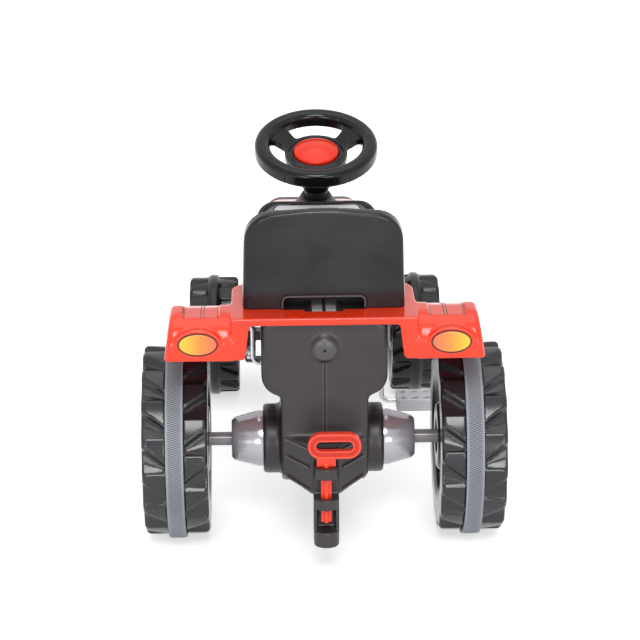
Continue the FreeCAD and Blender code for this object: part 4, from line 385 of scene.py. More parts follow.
pedal_grey = pigmented(
    "pedal_grey_nylon", deep=(0.74, 0.74, 0.77), pale=(0.82, 0.82, 0.85),
    rub=(0.8, 0.8, 0.82), gloss=(0.26, 0.38), grain=(500, 0.05), shine=0.5)
crisp("pedal_crank", plated_steel, "crank")
crisp("pedal_end_caps", plated_steel, "crank")
for side in SIDES:
    crisp("crank_bush_" + side, axle_grey, "chassis")
    moulded("pedal_" + side, pedal_grey, "pedal_" + side, voxel=0.0012, rounds=2)

# Chain drive: two sprockets and the chain between them inside the tunnel.
# Plated sprockets and a darker oiled chain.
# All three keep the faces of their solids.

oiled_steel = bare_metal(
    "oiled_steel", deep=(0.16, 0.15, 0.14), pale=(0.30, 0.29, 0.27), gloss=(0.28, 0.45))
crisp("rear_sprocket", plated_steel, "rear_axle")
crisp("crank_sprocket", plated_steel, "crank")
crisp("drive_chain", oiled_steel, "chassis")

# Hitch: black bracket under the wedge tail and the red pin that drops through it.
# Both are mouldings with soft corners; the pin is ribbed under its loop handle.
# Drawn again from the solids with a fine mesh; the handle's lips are laid on, with painted shade in its
# groove and in the bracket's seams.

LOOP_BAR = 0.0110
LOOP_TALL = 0.0360
LOOP_THICK = 0.0100
LOOP_STEPS = 72
LIP_OUTER = 0.0028
LIP_INNER = 0.0020
LIP_RISE = 0.0009
LIP_INSET = 0.0003
LIP_SINK = 0.002
GROOVE_RISE = 0.0003
HITCH_SEAMS = (("collar_upper", 0.1575, 0.1685), ("collar_lower", 0.1105, 0.1215), ("block", 0.0590, 0.0750))
HITCH_SEAM_IN = 0.0003
HITCH_SEAM_WIDTH = 0.0010
HITCH_SEAM_RISE = 0.0001
HITCH_SEAM_STEPS = 3
red_shell = pigmented(
    "red_shell", deep=(0.80, 0.034, 0.007), pale=(0.88, 0.044, 0.010),
    rub=(0.86, 0.12, 0.07), gloss=(0.14, 0.24), grain=(420, 0.025), shine=0.5)
# Darker red: painted shade in the groove of the pin's handle, and the print of the dial pointers.
shade_and_pointer_red = pigmented(
    "shade_and_pointer_red", deep=(0.50, 0.014, 0.004), pale=(0.58, 0.020, 0.006),
    rub=(0.6, 0.03, 0.01), gloss=(0.24, 0.36), grain=(420, 0.03), shine=0.4)
moulded("hitch_bracket", body_black, "chassis", voxel=0.0011, rounds=3)
moulded("hitch_pin", red_shell, "hitch_pin", voxel=0.0008, rounds=2)
pin_low, pin_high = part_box("hitch_pin")
pin_middle = (pin_low + pin_high) / 2
loop_middle = Vector((pin_middle.x, pin_middle.y - LOOP_THICK / 2, pin_high.z - LOOP_TALL / 2))
loop_wide = (pin_high.x - pin_low.x) / 2
loop_tall = LOOP_TALL / 2


def rimmed(form, width):
    """Keeps only a rim of the given width along the edge of a flat form."""
    inset = bmesh.ops.inset_region(form, faces=form.faces[:], thickness=width, use_boundary=True,
                                   use_even_offset=True)
    rim = set(inset["faces"])
    inside = [face for face in form.faces if face not in rim]
    bmesh.ops.delete(form, geom=inside, context="FACES")


def loop_lip(name, inset, width, rise, finish):
    """Low lip along the handle's round-ended outline, on its back face and inset from its edge."""
    half_wide = loop_wide - inset
    half_tall = loop_tall - inset
    form = bmesh.new()
    ring = []
    for step in range(LOOP_STEPS):
        turn = 2 * math.pi * step / LOOP_STEPS
        shift = half_wide - half_tall if math.cos(turn) > 0 else half_tall - half_wide
        spot = Vector((shift + half_tall * math.cos(turn), LIP_SINK, half_tall * math.sin(turn)))
        ring.append(form.verts.new(loop_middle + spot))
    form.faces.new(ring)
    form.normal_update()
    rimmed(form, width)
    thickened(form, BACKWARD * (LIP_SINK + rise))
    piece_of(name, form, finish, "hitch_pin")


loop_lip("pin_lip_outer", LIP_INSET, LIP_OUTER, LIP_RISE, red_shell)
# The groove between the lips is a flush strip of darker red: painted shade.
loop_lip("pin_groove_painted_shade", LIP_OUTER, LOOP_BAR - LIP_OUTER - LIP_INNER, GROOVE_RISE, shade_and_pointer_red)
loop_lip("pin_lip_inner", LOOP_BAR - LIP_INNER, LIP_INNER, LIP_RISE, red_shell)
hitch_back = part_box("hitch_bracket")[0].y + HITCH_SEAM_IN
# Near-black strips down the collars and the block: painted shade in their seams.
for name, foot, top in HITCH_SEAMS:
    spots = row(Vector((0, hitch_back, top)), Vector((0, hitch_back, foot)), HITCH_SEAM_STEPS)
    raised_strip("hitch_seam_" + name, spots, BACKWARD, shade_and_print_black,
                 width=HITCH_SEAM_WIDTH, rise=HITCH_SEAM_RISE, sink=STRIP_SINK)

# Rear wheels: deep black hoops with swept lugs, a grey band round the middle and a red cap.
# Blow-moulded hoop, rubbery grey band with rows of short raised dashes and painted shade between them, glossy
# dished cap.
# The hoop is drawn again from its solid; the band is spun and its dashes raised, and the cap is turned.

WHEEL_BODY = {"left": "rear_wheel_left", "right": "rear_axle"}
BAND_RISE = 0.0007
BAND_DEPTH = 0.0045
BAND_STEPS = 560
BAND_EDGE = 0.0032
BAND_FIELDS = 4
DASH_INSET = 0.00022
OUTSIDE_SLACK = 0.001
wheel_black = pigmented(
    "wheel_black_satin", deep=(0.0150, 0.0150, 0.0185), pale=(0.0205, 0.0205, 0.0248),
    rub=(0.13, 0.13, 0.14), gloss=(0.15, 0.22), grain=(560, 0.04), shine=0.46)
band_grey = pigmented(
    "band_grey_rubber", deep=(0.235, 0.250, 0.282), pale=(0.300, 0.318, 0.352),
    rub=(0.30, 0.31, 0.33), gloss=(0.44, 0.60), grain=(900, 0.10), shine=0.36)
# Darker copy of the band's grey: painted shade on the floor between the dashes.
band_shade = pigmented(
    "band_grey_painted_shade", deep=(0.115, 0.124, 0.143), pale=(0.155, 0.165, 0.187),
    rub=(0.16, 0.17, 0.19), gloss=(0.55, 0.70), grain=(900, 0.10), shine=0.25)
band_low, band_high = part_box("tread_band_left")
band_r = (band_high.z - band_low.z) / 2
band_axle = (band_high + band_low) / 2


def tread_band(side):
    """Ring spun from its cross-section: two plain edges and rows of staggered cross dashes between them, with
    painted shade on the floor between the dashes.
    """
    low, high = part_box("tread_band_" + side)
    base_r = band_r - BAND_RISE
    inner_r = base_r - BAND_DEPTH
    field = (high.x - low.x - 2 * BAND_EDGE) / BAND_FIELDS
    columns = [low.x + BAND_EDGE + field * column for column in range(BAND_FIELDS + 1)]
    tops = [(x, base_r) for x in (low.x, *columns, high.x)]
    section = [(low.x, inner_r), *tops, (high.x, inner_r)]
    form = bmesh.new()
    outline = [form.verts.new((x, band_axle.y, band_axle.z + radius)) for x, radius in section]
    edges = [form.edges.new(pair) for pair in zip(outline, outline[1:] + outline[:1])]
    bmesh.ops.spin(form, geom=outline + edges, cent=band_axle, axis=(1, 0, 0), angle=2 * math.pi,
                   steps=BAND_STEPS, use_merge=True)
    bmesh.ops.recalc_face_normals(form, faces=form.faces)
    raised = []
    for face in form.faces:
        spot = face.calc_center_median() - band_axle
        column = math.floor((spot.x + band_axle.x - low.x - BAND_EDGE) / field)
        if math.hypot(spot.y, spot.z) < base_r - OUTSIDE_SLACK or not 0 <= column < BAND_FIELDS:
            continue
        turn = math.atan2(spot.z, spot.y) / (2 * math.pi) * BAND_STEPS
        if (math.floor(turn) + column) % 2:
            raised.append(face)
        else:
            # Floor faces between the dashes take the darker grey: painted shade.
            face.material_index = 1
    bmesh.ops.inset_individual(form, faces=raised, thickness=DASH_INSET, depth=0)
    for vert in {vert for face in raised for vert in face.verts}:
        out = Vector((0, vert.co.y - band_axle.y, vert.co.z - band_axle.z))
        vert.co += out.normalized() * BAND_RISE
    piece = piece_of("tread_band_" + side + "_ring", form, band_grey, WHEEL_BODY[side])
    piece.data.materials.append(band_shade)
    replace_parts(piece, "tread_band_" + side)


CAP_EDGE = 0.0030
CAP_EDGE_POINTS = 6
CAP_WALL = 0.0030
CAP_GROOVE = 0.0015
CAP_DISH = 0.0018
CAP_DISH_EDGE = 0.0002
CAP_STEPS = 72
CAP_FACE = ((0.78, 0), (0.755, CAP_GROOVE), (0.695, CAP_GROOVE), (0.67, CAP_DISH_EDGE),
            (0.45, CAP_DISH * 0.55), (0.22, CAP_DISH * 0.9), (0, CAP_DISH))


def hub_cap(node, body):
    """Hollow cap turned from its outline: rounded edge, one groove and a dished middle."""
    low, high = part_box(node)
    sign = -1 if low.x < 0 else 1
    face, root = (low.x, high.x) if sign < 0 else (high.x, low.x)
    radius = (high.z - low.z) / 2
    hub = Vector((face, (low.y + high.y) / 2, (low.z + high.z) / 2))
    outline = [hub + Vector((-sign * CAP_WALL, 0, reach)) for reach in (0, radius - CAP_WALL)]
    outline += [Vector((root, hub.y, hub.z + reach)) for reach in (radius - CAP_WALL, radius)]
    for step in range(CAP_EDGE_POINTS + 1):
        turn = math.pi / 2 * step / CAP_EDGE_POINTS
        inward = sign * CAP_EDGE * (math.sin(turn) - 1)
        outline.append(hub + Vector((inward, 0, radius + CAP_EDGE * (math.cos(turn) - 1))))
    for share, sink in CAP_FACE:
        outline.append(hub + Vector((-sign * sink, 0, radius * share)))
    form = spun(outline, hub, (1, 0, 0), CAP_STEPS)
    sharpened(form)
    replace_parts(piece_of(node + "_dish", form, red_shell, body), node)


for side in SIDES:
    moulded("rear_wheel_" + side, wheel_black, WHEEL_BODY[side], voxel=0.0020, rounds=4)
    tread_band(side)
    hub_cap("rear_hub_cap_" + side, WHEEL_BODY[side])

# Front axle: black beam on the body, two knuckles on kingpins and the rod that joins them.
# Beam and rod are black nylon, knuckles, pins and stub axles plated steel.
# All keep the faces of their solids.

crisp("front_axle_beam", body_black, "chassis")
crisp("kingpins", plated_steel, "chassis")
crisp("tie_rod", body_black, "tie_rod")
crisp("tie_rod_pins", plated_steel, "tie_rod")
for side in SIDES:
    crisp("knuckle_" + side, plated_steel, "knuckle_" + side)
    crisp("front_push_nut_" + side, plated_steel, "knuckle_" + side)

# Front wheels: smaller black hoops with a centre rib and lugs that meet it, red caps.
# Blow-moulded as the rear hoops are; their deeper black is painted shade.
# Drawn again from the solids; the caps are turned like the rear ones.

# Deeper black than the rear wheels: painted shade over the front wheels.
front_wheel_shade_black = pigmented(
    "front_wheel_painted_shade_black", deep=(0.0065, 0.0060, 0.0066), pale=(0.0100, 0.0094, 0.0102),
    rub=(0.04, 0.04, 0.041), gloss=(0.22, 0.32), grain=(560, 0.05), shine=0.30)
for side in SIDES:
    moulded("front_wheel_" + side, front_wheel_shade_black, "front_wheel_" + side, voxel=0.0018, rounds=3)
    hub_cap("front_hub_cap_" + side, "front_wheel_" + side)

# Fender: red mudguards, deck and apron in one shell over the rear wheels, with two lamps.
# Glossy red polyethylene; the lamps are tinted from yellow to salmon, with a brown line round each.
# Shell and lamps are drawn again from their solids, and the lines are laid on.

LAMP_OUTER = (0.98, 0.58, 0.035)
LAMP_MIDDLE = (0.96, 0.27, 0.04)
LAMP_INNER = (0.92, 0.15, 0.085)
LAMP_MIDDLE_AT = 0.45
RING_WIDTH = 0.0017
RING_IN = 0.0010
RING_THICK = 0.0018
RING_STEPS = 64
# Dark brown: the printed line round each lamp, and painted shade at the walls of the guard recesses.
print_and_shade_brown = pigmented(
    "lamp_line_and_painted_shade_brown", deep=(0.040, 0.010, 0.006), pale=(0.062, 0.016, 0.009),
    rub=(0.09, 0.03, 0.02), gloss=(0.30, 0.42), grain=(500, 0.03), shine=0.4)
moulded("fender", red_shell, "chassis", voxel=0.0018, rounds=5)


def lamp_glow(name, inner_x, outer_x):
    """Tinted lens: yellow at its outer end, orange in the middle and salmon at its inner end."""
    finish = pigmented(name, deep=LAMP_MIDDLE, pale=LAMP_MIDDLE, rub=LAMP_OUTER,
                       gloss=(0.10, 0.22), grain=(300, 0.05), shine=0.5)
    tree = finish.node_tree
    split = tree.nodes.new("ShaderNodeSeparateXYZ")
    tree.links.new(tree.nodes.new("ShaderNodeTexCoord").outputs["Object"], split.inputs["Vector"])
    along = ranged(tree, split.outputs["X"], (inner_x, outer_x), (0, 1))
    tint = blended(tree, along, (0, LAMP_INNER), (1, LAMP_OUTER))
    tint.color_ramp.elements.new(LAMP_MIDDLE_AT).color = (*LAMP_MIDDLE, 1)
    tree.links.new(tint.outputs["Color"], tree.nodes["Principled BSDF"].inputs["Base Color"])
    return finish


def flat_ring(centre, facing, half_wide, half_tall, width, thick):
    """Oval band whose face looks along facing and lies at centre, standing thick off what is behind it."""
    form = bmesh.new()
    place = Matrix.Translation(centre - facing * thick) @ facing.to_track_quat("Z", "Y").to_matrix().to_4x4()
    bmesh.ops.create_circle(form, cap_ends=True, radius=1, segments=RING_STEPS,
                            matrix=place @ Matrix.Diagonal((half_wide, half_tall, 1, 1)))
    rimmed(form, width)
    thickened(form, facing * thick)
    return form


for side, sign in SIDES.items():
    low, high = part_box("tail_light_" + side)
    inner_x, outer_x = (high.x, low.x) if sign < 0 else (low.x, high.x)
    glow = lamp_glow("lamp_orange_" + side, inner_x, outer_x)
    moulded("tail_light_" + side, glow, "chassis", voxel=0.0008, rounds=3)
    middle = (low + high) / 2
    line = flat_ring(Vector((middle.x, low.y + RING_IN, middle.z)), BACKWARD,
                     (high.x - low.x) / 2 + RING_WIDTH, (high.z - low.z) / 2 + RING_WIDTH,
                     RING_WIDTH * 2, RING_THICK)
    piece_of("lamp_line_" + side, line, print_and_shade_brown, "chassis")

# Stripes in the recess on top of each guard: a plain double line, and the shade at the recess walls.
# Thin dark film on the red shell: print for the double line, painted shade at the recess walls.
# Strips that follow the floor of the recess, flat at the back and sloping to the front.

RECESS_BACK = -0.3860
STRIPE_FRONT = -0.2450
STRIPES_X = (0.1640, 0.1680)
STRIPE_WIDTH = 0.0011
STRIPE_RISE = 0.0005
SHADE_FRONT = -0.3250
SHADES_X = (0.1448, 0.1915)
SHADE_WIDTH = 0.0020
SHADE_RISE = 0.0006
FILM_SINK = 0.001
GUARD_STEPS = 24
ABOVE = 1
stripe_grey = pigmented(
    "stripe_grey", deep=(0.030, 0.027, 0.028), pale=(0.045, 0.041, 0.042),
    rub=(0.08, 0.07, 0.07), gloss=(0.30, 0.42), grain=(500, 0.03), shine=0.4)


def surface_of(node):
    """Search tree over a solid's surface, for finding points on it."""
    form = welded(node)
    tree = BVHTree.FromBMesh(form)
    form.free()
    return tree


guard_tree = surface_of("fender")


def along_guard(x, front):
    """Row of points on top of the shell, from the back of the recess straight to the given front."""
    spots = row(Vector((x, RECESS_BACK, ABOVE)), Vector((x, front, ABOVE)), GUARD_STEPS)
    return [guard_tree.ray_cast(spot, -UPWARD)[0] for spot in spots]


for side, sign in SIDES.items():
    for index, x in enumerate(STRIPES_X):
        raised_strip("guard_stripe_%s_%d" % (side, index), along_guard(x * sign, STRIPE_FRONT), UPWARD,
                     stripe_grey, width=STRIPE_WIDTH, rise=STRIPE_RISE, sink=FILM_SINK)
    # Brown strips by the recess walls: painted shade.
    for index, x in enumerate(SHADES_X):
        raised_strip("guard_shade_%s_%d" % (side, index), along_guard(x * sign, SHADE_FRONT), UPWARD,
                     print_and_shade_brown, width=SHADE_WIDTH, rise=SHADE_RISE, sink=FILM_SINK)

# Seat: high-backed black shell with a hand slot, bolted to the pedestal.
# Satin black with rubbed edges.
# Drawn again from its solid.

seat_black = pigmented(
    "seat_black_satin", deep=(0.0042, 0.0042, 0.0054), pale=(0.0165, 0.0165, 0.0195),
    rub=(0.055, 0.055, 0.059), gloss=(0.20, 0.27), grain=(480, 0.04), shine=0.36)
moulded("seat", seat_black, "chassis", voxel=0.0020, rounds=2)

# Hand slot under the seat's back: a dark far wall, two grey rails on the floor and a lip round the mouth.
# Black plastic seen through the slot, with grey rails that are painted sheen and a paler lip that is a
# painted highlight.
# Flat plates that stand on the deck inside the slot; the lip follows the leaning back.

DECK_Z = 0.372
SLOT_HALF = 0.0565
SLOT_TALL = 0.019
SLOT_Y = -0.3685
SLOT_END = -0.3238
SLOT_WALL = 0.0012
SLOT_WALL_SINK = 0.006
SLOT_WALL_ROUND = 0.0003
RAILS_X = ((-0.0165, -0.0022), (0.0022, 0.0165))
RAIL_BACK = SLOT_Y - 0.0066
RAIL_FRONT = SLOT_END - 0.002
RAIL_SINK = 0.004
RAIL_RISE = 0.0004
RAIL_ROUND = 0.0004
SEAT_LEAN = math.tan(math.radians(8))
MOUTH_FOOT = 0.002
MOUTH_TURN = 0.008
MOUTH_STRAIGHT = 0.009
MOUTH_LEG_STEPS = 2
MOUTH_TURN_STEPS = 8
MOUTH_LIP_OUT = 0.0004
MOUTH_LIP_WIDTH = 0.0022
MOUTH_LIP_RISE = 0.0008
MOUTH_LIP_SINK = 0.003
# Pale grey for the rails: painted sheen of the light a ridge in the slot's shade would catch.
rail_painted_sheen_grey = pigmented(
    "rail_painted_sheen_grey", deep=(0.33, 0.325, 0.335), pale=(0.42, 0.415, 0.425),
    rub=(0.2, 0.2, 0.2), gloss=(0.22, 0.34), grain=(500, 0.04), shine=0.5)


def plate(name, low, high, round_by, finish):
    """Block on the chassis between two corners, with rounded edges."""
    form = bmesh.new()
    size = high - low
    place = Matrix.Translation((low + high) / 2) @ Matrix.Diagonal((*size, 1))
    bmesh.ops.create_cube(form, size=1, matrix=place)
    bmesh.ops.bevel(form, geom=form.edges[:], offset=round_by, offset_type="OFFSET", affect="EDGES",
                    segments=2, profile=0.5, material=-1)
    piece_of(name, form, finish, "chassis")


def arc(x, z, radius, start, end, steps):
    """Points on an arc in a plane across the tractor, as pairs of x and z."""
    turns = [start + (end - start) * step / steps for step in range(steps + 1)]
    return [(x + radius * math.cos(turn), z + radius * math.sin(turn)) for turn in turns]


plate("slot_wall", Vector((-SLOT_HALF, SLOT_END - SLOT_WALL, DECK_Z - SLOT_WALL_SINK)),
      Vector((SLOT_HALF, SLOT_END, DECK_Z + SLOT_TALL)), SLOT_WALL_ROUND, seat_black)
for index, (rail_left, rail_right) in enumerate(RAILS_X):
    plate("slot_rail_%d" % index, Vector((rail_left, RAIL_BACK, DECK_Z - RAIL_SINK)),
          Vector((rail_right, RAIL_FRONT, DECK_Z + RAIL_RISE)), RAIL_ROUND, rail_painted_sheen_grey)
mouth_heights = [MOUTH_FOOT + MOUTH_STRAIGHT * step / MOUTH_LEG_STEPS for step in range(MOUTH_LEG_STEPS + 1)]
mouth = [(-SLOT_HALF, height) for height in mouth_heights]
mouth += arc(MOUTH_TURN - SLOT_HALF, SLOT_TALL - MOUTH_TURN, MOUTH_TURN, math.pi, math.pi / 2,
             MOUTH_TURN_STEPS)
mouth += [(-x, z) for x, z in reversed(mouth)]
lip = [Vector((x, SLOT_Y - z * SEAT_LEAN - MOUTH_LIP_OUT, DECK_Z + z)) for x, z in mouth]
# The lip is a paler black than the seat: a painted highlight round the mouth.
raised_strip("slot_lip", lip, Vector((0, -1, -SEAT_LEAN)).normalized(), painted_highlight_black,
             width=MOUTH_LIP_WIDTH, rise=MOUTH_LIP_RISE, sink=MOUTH_LIP_SINK)

# Bonnet: red engine cover with the grille and two round headlights at the nose.
# Glossy red shell with six slanted vents on each side, their recesses laid with satin black as painted shade,
# black grille, pale glossy lenses.
# Shell and grille are drawn again from their solids; vents and lamp rings are laid on.

FORWARD = Vector((0, 1, 0))
VENTS = 6
VENT_STEP = 0.016
VENT_Y = 0.3829
VENT_LOW = 0.2620
VENT_HIGH = 0.2840
VENT_LEAN = 0.0068
VENT_WIDTH = 0.0056
VENT_RISE = 0.0014
VENT_STEPS = 4
OUTSIDE_X = 0.2
LIGHT_RINGS = (0.98, 0.55)
LIGHT_RING_WIDTH = 0.0022
LIGHT_RING_THICK = 0.002
LIGHT_RING_IN = 0.0002
lens_clear = pigmented(
    "lens_clear", deep=(0.62, 0.64, 0.66), pale=(0.76, 0.78, 0.80),
    rub=(0.9, 0.9, 0.9), gloss=(0.05, 0.14), grain=(260, 0.08), shine=0.6)
moulded("bonnet", red_shell, "chassis", voxel=0.0020, rounds=3)
bonnet_tree = surface_of("bonnet")
for side, sign in SIDES.items():
    outward = Vector((sign, 0, 0))
    for vent in range(VENTS):
        foot = Vector((sign * OUTSIDE_X, VENT_Y - VENT_STEP * vent, VENT_LOW))
        top = Vector((sign * OUTSIDE_X, VENT_Y - VENT_STEP * vent - VENT_LEAN, VENT_HIGH))
        slat = [bonnet_tree.ray_cast(spot, -outward)[0] for spot in row(foot, top, VENT_STEPS)]
        # Black strips in the vent recesses: painted shade.
        raised_strip("bonnet_vent_%s_%d" % (side, vent), slat, outward, body_black,
                     width=VENT_WIDTH, rise=VENT_RISE, sink=FILM_SINK)
moulded("front_grille", body_black, "chassis", voxel=0.0016, rounds=2)
for side in SIDES:
    crisp("headlight_" + side, lens_clear, "chassis")
    low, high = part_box("headlight_" + side)
    middle = (low + high) / 2
    lens_r = (high.x - low.x) / 2
    for index, share in enumerate(LIGHT_RINGS):
        ring = flat_ring(Vector((middle.x, high.y - LIGHT_RING_IN, middle.z)), FORWARD, lens_r * share,
                         lens_r * share, LIGHT_RING_WIDTH, LIGHT_RING_THICK)
        piece_of("headlight_ring_%s_%d" % (side, index), ring, plated_steel, "chassis")

# Edging of the bonnet: black strip pushed on the rear rim of the shell, round the dash.
# The same satin black as the body.
# A low strip that follows the arch of the rim.

RIM_HALF = 0.0895
RIM_TOP = 0.4015
RIM_FOOT = 0.2560
RIM_TURN = 0.0255
RIM_Y = 0.0555
RIM_LEG_STEPS = 6
RIM_TURN_STEPS = 12
EDGING_WIDTH = 0.0052
EDGING_RISE = 0.0007
rim_leg = RIM_TOP - RIM_TURN - RIM_FOOT
rim_line = [(RIM_HALF, RIM_FOOT + rim_leg * step / RIM_LEG_STEPS) for step in range(RIM_LEG_STEPS)]
rim_line += arc(RIM_HALF - RIM_TURN, RIM_TOP - RIM_TURN, RIM_TURN, 0, math.pi / 2, RIM_TURN_STEPS)
rim_line += [(-x, z) for x, z in reversed(rim_line)]
raised_strip("bonnet_edging", [Vector((x, RIM_Y, z)) for x, z in rim_line], BACKWARD, body_black,
             width=EDGING_WIDTH, rise=EDGING_RISE, sink=STRIP_SINK)

# Dash: black panel behind the bonnet with a pale instrument face.
# Satin black panel; the face is pale grey.
# The panel is drawn again from its solid, the face keeps its own.

panel_grey = pigmented(
    "panel_grey", deep=(0.42, 0.43, 0.45), pale=(0.52, 0.53, 0.55),
    rub=(0.6, 0.6, 0.6), gloss=(0.32, 0.45), grain=(600, 0.03), shine=0.5)
moulded("dash_panel", body_black, "chassis", voxel=0.0016, rounds=2)
crisp("instrument_face", panel_grey, "chassis")

# Gauges on the instrument face: two round dials with plain marks and a red pointer each.
# Printed film and a thin black rim.
# Low rings and strips that lie on the slanted face.

RIGHTWARD = Vector((1, 0, 0))
DIAL_X = 0.034
DIAL_R = 0.0185
DIAL_RIM = 0.0018
DIAL_RIM_RISE = 0.0008
DIAL_MARKS = 9
DIAL_START = -120
DIAL_SWEEP = 240
MARK_REACH = (DIAL_R * 0.68, DIAL_R * 0.86)
POINTER_REACH = (-DIAL_R * 0.15, DIAL_R * 0.62)
POINTER_UP = 0.8
POINTER_LEFT = 0.6
MARK_WIDTH = 0.0011
MARK_RISE = 0.0004
FACE_X = 0.03
face_low, face_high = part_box("instrument_face")
face_seen_from = Vector((FACE_X, -1, (face_low.z + face_high.z) / 2))
face_mid, face_out = surface_of("instrument_face").ray_cast(face_seen_from, FORWARD)[:2]
face_up = (UPWARD - face_out * face_out.z).normalized()
pointer_along = (face_up * POINTER_UP - RIGHTWARD * POINTER_LEFT).normalized()


def dial_mark(name, hub, along, reach, finish):
    """Straight mark on the instrument face, from one reach to another along a direction."""
    raised_strip(name, [hub + along * far for far in reach], face_out, finish,
                 width=MARK_WIDTH, rise=MARK_RISE, sink=FILM_SINK)


for side, sign in SIDES.items():
    hub = face_mid + RIGHTWARD * (sign * DIAL_X - face_mid.x)
    rim = flat_ring(hub + face_out * DIAL_RIM_RISE, face_out, DIAL_R, DIAL_R, DIAL_RIM, DIAL_RIM)
    piece_of("dial_rim_" + side, rim, shade_and_print_black, "chassis")
    for mark in range(DIAL_MARKS):
        turn = math.radians(DIAL_START + DIAL_SWEEP * mark / DIAL_MARKS)
        along = face_up * math.cos(turn) + RIGHTWARD * math.sin(turn)
        dial_mark("dial_mark_%s_%d" % (side, mark), hub, along, MARK_REACH, shade_and_print_black)
    dial_mark("dial_mark_%s_%d" % (side, DIAL_MARKS), hub, pointer_along, POINTER_REACH, shade_and_pointer_red)

# Steering column: sleeve and bushes round the bent steel shaft.
# The sleeve is black nylon, the bushes are grey nylon and the shaft is plated.
# All keep the faces of their solids.

crisp("column_sleeve", body_black, "chassis")
crisp("column_bush_lower", axle_grey, "chassis")
crisp("column_bush_upper", axle_grey, "chassis")
crisp("steering_shaft", plated_steel, "steering")

# Steering wheel: black three-spoked wheel with a red domed horn button on a spring.
# Glossy black moulding, glossy red button, plated spring that shortens as the button goes in.
# Wheel and button are drawn again from their solids; the button is eased to run free in its bowl.

STEER_AT = Vector((0, 0.0795, 0.484))
STEER_TILT = math.radians(19.5)
HORN_EASE = 0.985
rim_black = pigmented(
    "rim_black_gloss", deep=(0.0042, 0.0042, 0.0050), pale=(0.0070, 0.0070, 0.0082),
    rub=(0.03, 0.03, 0.032), gloss=(0.13, 0.20), grain=(520, 0.03), shine=0.30)
horn_red = pigmented(
    "horn_red", deep=(0.80, 0.022, 0.005), pale=(0.88, 0.030, 0.007),
    rub=(0.86, 0.08, 0.05), gloss=(0.16, 0.22), grain=(420, 0.015), shine=0.36)
moulded("steering_wheel", rim_black, "steering", voxel=0.0011, rounds=2)
button = moulded("horn_button", horn_red, "horn", voxel=0.0011, rounds=3)
upright = Matrix.Rotation(-STEER_TILT, 4, "X") @ Matrix.Translation(-STEER_AT)
button.data.transform(upright.inverted() @ Matrix.Diagonal((HORN_EASE, HORN_EASE, 1, 1)) @ upright)
spring = crisp("horn_spring", plated_steel, "steering")
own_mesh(spring)

# Studio: white floor, and soft light from overhead and from behind the tractor, where the camera stands.
# Floor and sky are white where they are seen, also mirrored, and milder where they light the tractor.
# The camera stands behind and above, with a long lens aimed just below the seat.

WHITE = (1, 1, 1, 1)
FLOOR_HALF = 20
PAPER_WHITE = (0.90, 0.90, 0.90, 1)
PAPER_GLOW = 0.58
scene = bpy.context.scene
scene.view_settings.view_transform = "Standard"


def where_seen(tree):
    """1 on rays that show a surface, straight, mirrored or through a lens, and 0 on those that only light."""
    path = tree.nodes.new("ShaderNodeLightPath")
    mirrored = larger(tree, path.outputs["Is Camera Ray"], path.outputs["Is Glossy Ray"])
    return larger(tree, mirrored, path.outputs["Is Transmission Ray"])


paper, paper_tree, paper_shader = blank_finish("white_paper")
paper_shader.inputs["Base Color"].default_value = PAPER_WHITE
paper_shader.inputs["Roughness"].default_value = 1
paper_shader.inputs["Specular IOR Level"].default_value = 0
paper_shader.inputs["Emission Color"].default_value = WHITE
paper_glow = ranged(paper_tree, where_seen(paper_tree), (0, 1), (0, PAPER_GLOW))
paper_tree.links.new(paper_glow, paper_shader.inputs["Emission Strength"])
floor_mesh = bpy.data.meshes.new("studio_floor")
floor_form = bmesh.new()
bmesh.ops.create_grid(floor_form, x_segments=1, y_segments=1, size=FLOOR_HALF)
floor_form.to_mesh(floor_mesh)
floor_form.free()
floor_mesh.materials.append(paper)
floor = bpy.data.objects.new("studio_floor", floor_mesh)
scene.collection.objects.link(floor)


def soft_light(name, spot, aim, spread, strength):
    """Distant light as wide as a soft box, shining from one point towards another."""
    light = bpy.data.lights.new(name, "SUN")
    light.angle = math.radians(spread)
    light.energy = strength
    lamp = bpy.data.objects.new(name, light)
    lamp.location = spot
    lamp.rotation_euler = (Vector(aim) - Vector(spot)).to_track_quat("-Z", "Y").to_euler()
    scene.collection.objects.link(lamp)
    return lamp


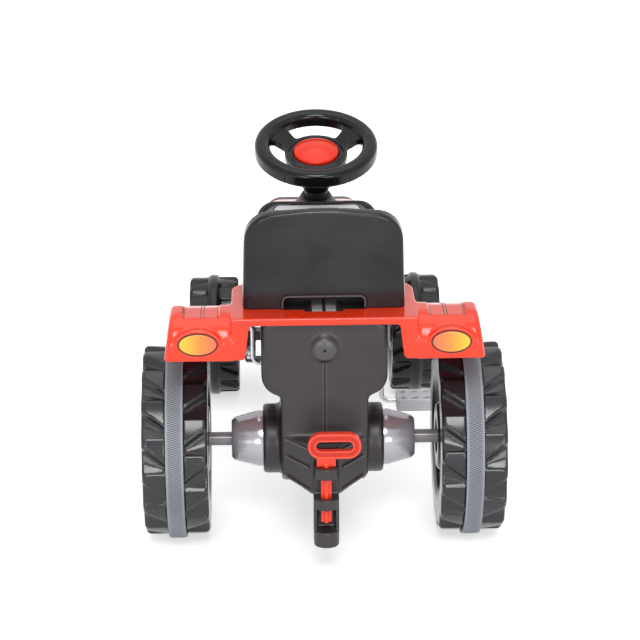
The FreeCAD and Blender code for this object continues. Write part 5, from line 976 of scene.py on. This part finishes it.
lamps = [
    soft_light("light_overhead", (0, -0.1, 2.4), (0, -0.25, 0), spread=46, strength=0.55),
    soft_light("light_high_back", (0, -2.25, 2.0), (0, -0.25, 0.2), spread=22, strength=1.35),
    soft_light("light_low_left", (-0.85, -2.9, 0.42), (0, -0.3, 0.2), spread=22, strength=0.60),
    soft_light("light_low_right", (0.80, -2.9, 0.42), (0, -0.3, 0.2), spread=22, strength=0.70)]

SKY_SEEN = 1
SKY_TINT = (0.96, 0.98, 1, 1)
SKY_LIGHT = 0.5
sky = bpy.data.worlds.new("studio_sky")
sky.use_nodes = True
scene.world = sky
sky_tree = sky.node_tree
sky_tree.nodes.clear()


def sky_shine(colour, strength):
    """Even light of one colour from the whole sky."""
    shine = sky_tree.nodes.new("ShaderNodeBackground")
    shine.inputs["Color"].default_value = colour
    shine.inputs["Strength"].default_value = strength
    return shine.outputs["Background"]


choose = sky_tree.nodes.new("ShaderNodeMixShader")
sky_tree.links.new(where_seen(sky_tree), choose.inputs["Fac"])
sky_tree.links.new(sky_shine(SKY_TINT, SKY_LIGHT), choose.inputs[1])
sky_tree.links.new(sky_shine(WHITE, SKY_SEEN), choose.inputs[2])
sky_out = sky_tree.nodes.new("ShaderNodeOutputWorld")
sky_tree.links.new(choose.outputs["Shader"], sky_out.inputs["Surface"])

CAMERA_AT = Vector((-0.0729, -3.4799, 1.4103))
CAMERA_AIM = Vector((-0.0031, -0.2605, 0.3192))
CAMERA_ROLL = math.radians(0.386)
CAMERA_LENS = 135
CAMERA_SENSOR = 36
view_data = bpy.data.cameras.new("camera")
view_data.lens = CAMERA_LENS
view_data.sensor_width = CAMERA_SENSOR
camera = bpy.data.objects.new("camera", view_data)
ahead = (CAMERA_AIM - CAMERA_AT).normalized()
level_right = ahead.cross(UPWARD).normalized()
level_up = level_right.cross(ahead)
up = level_up * math.cos(CAMERA_ROLL) + level_right * math.sin(CAMERA_ROLL)
right = level_right * math.cos(CAMERA_ROLL) - level_up * math.sin(CAMERA_ROLL)
stance = Matrix((right, up, -ahead)).transposed().to_4x4()
camera.matrix_world = Matrix.Translation(CAMERA_AT) @ stance
scene.collection.objects.link(camera)
scene.camera = camera
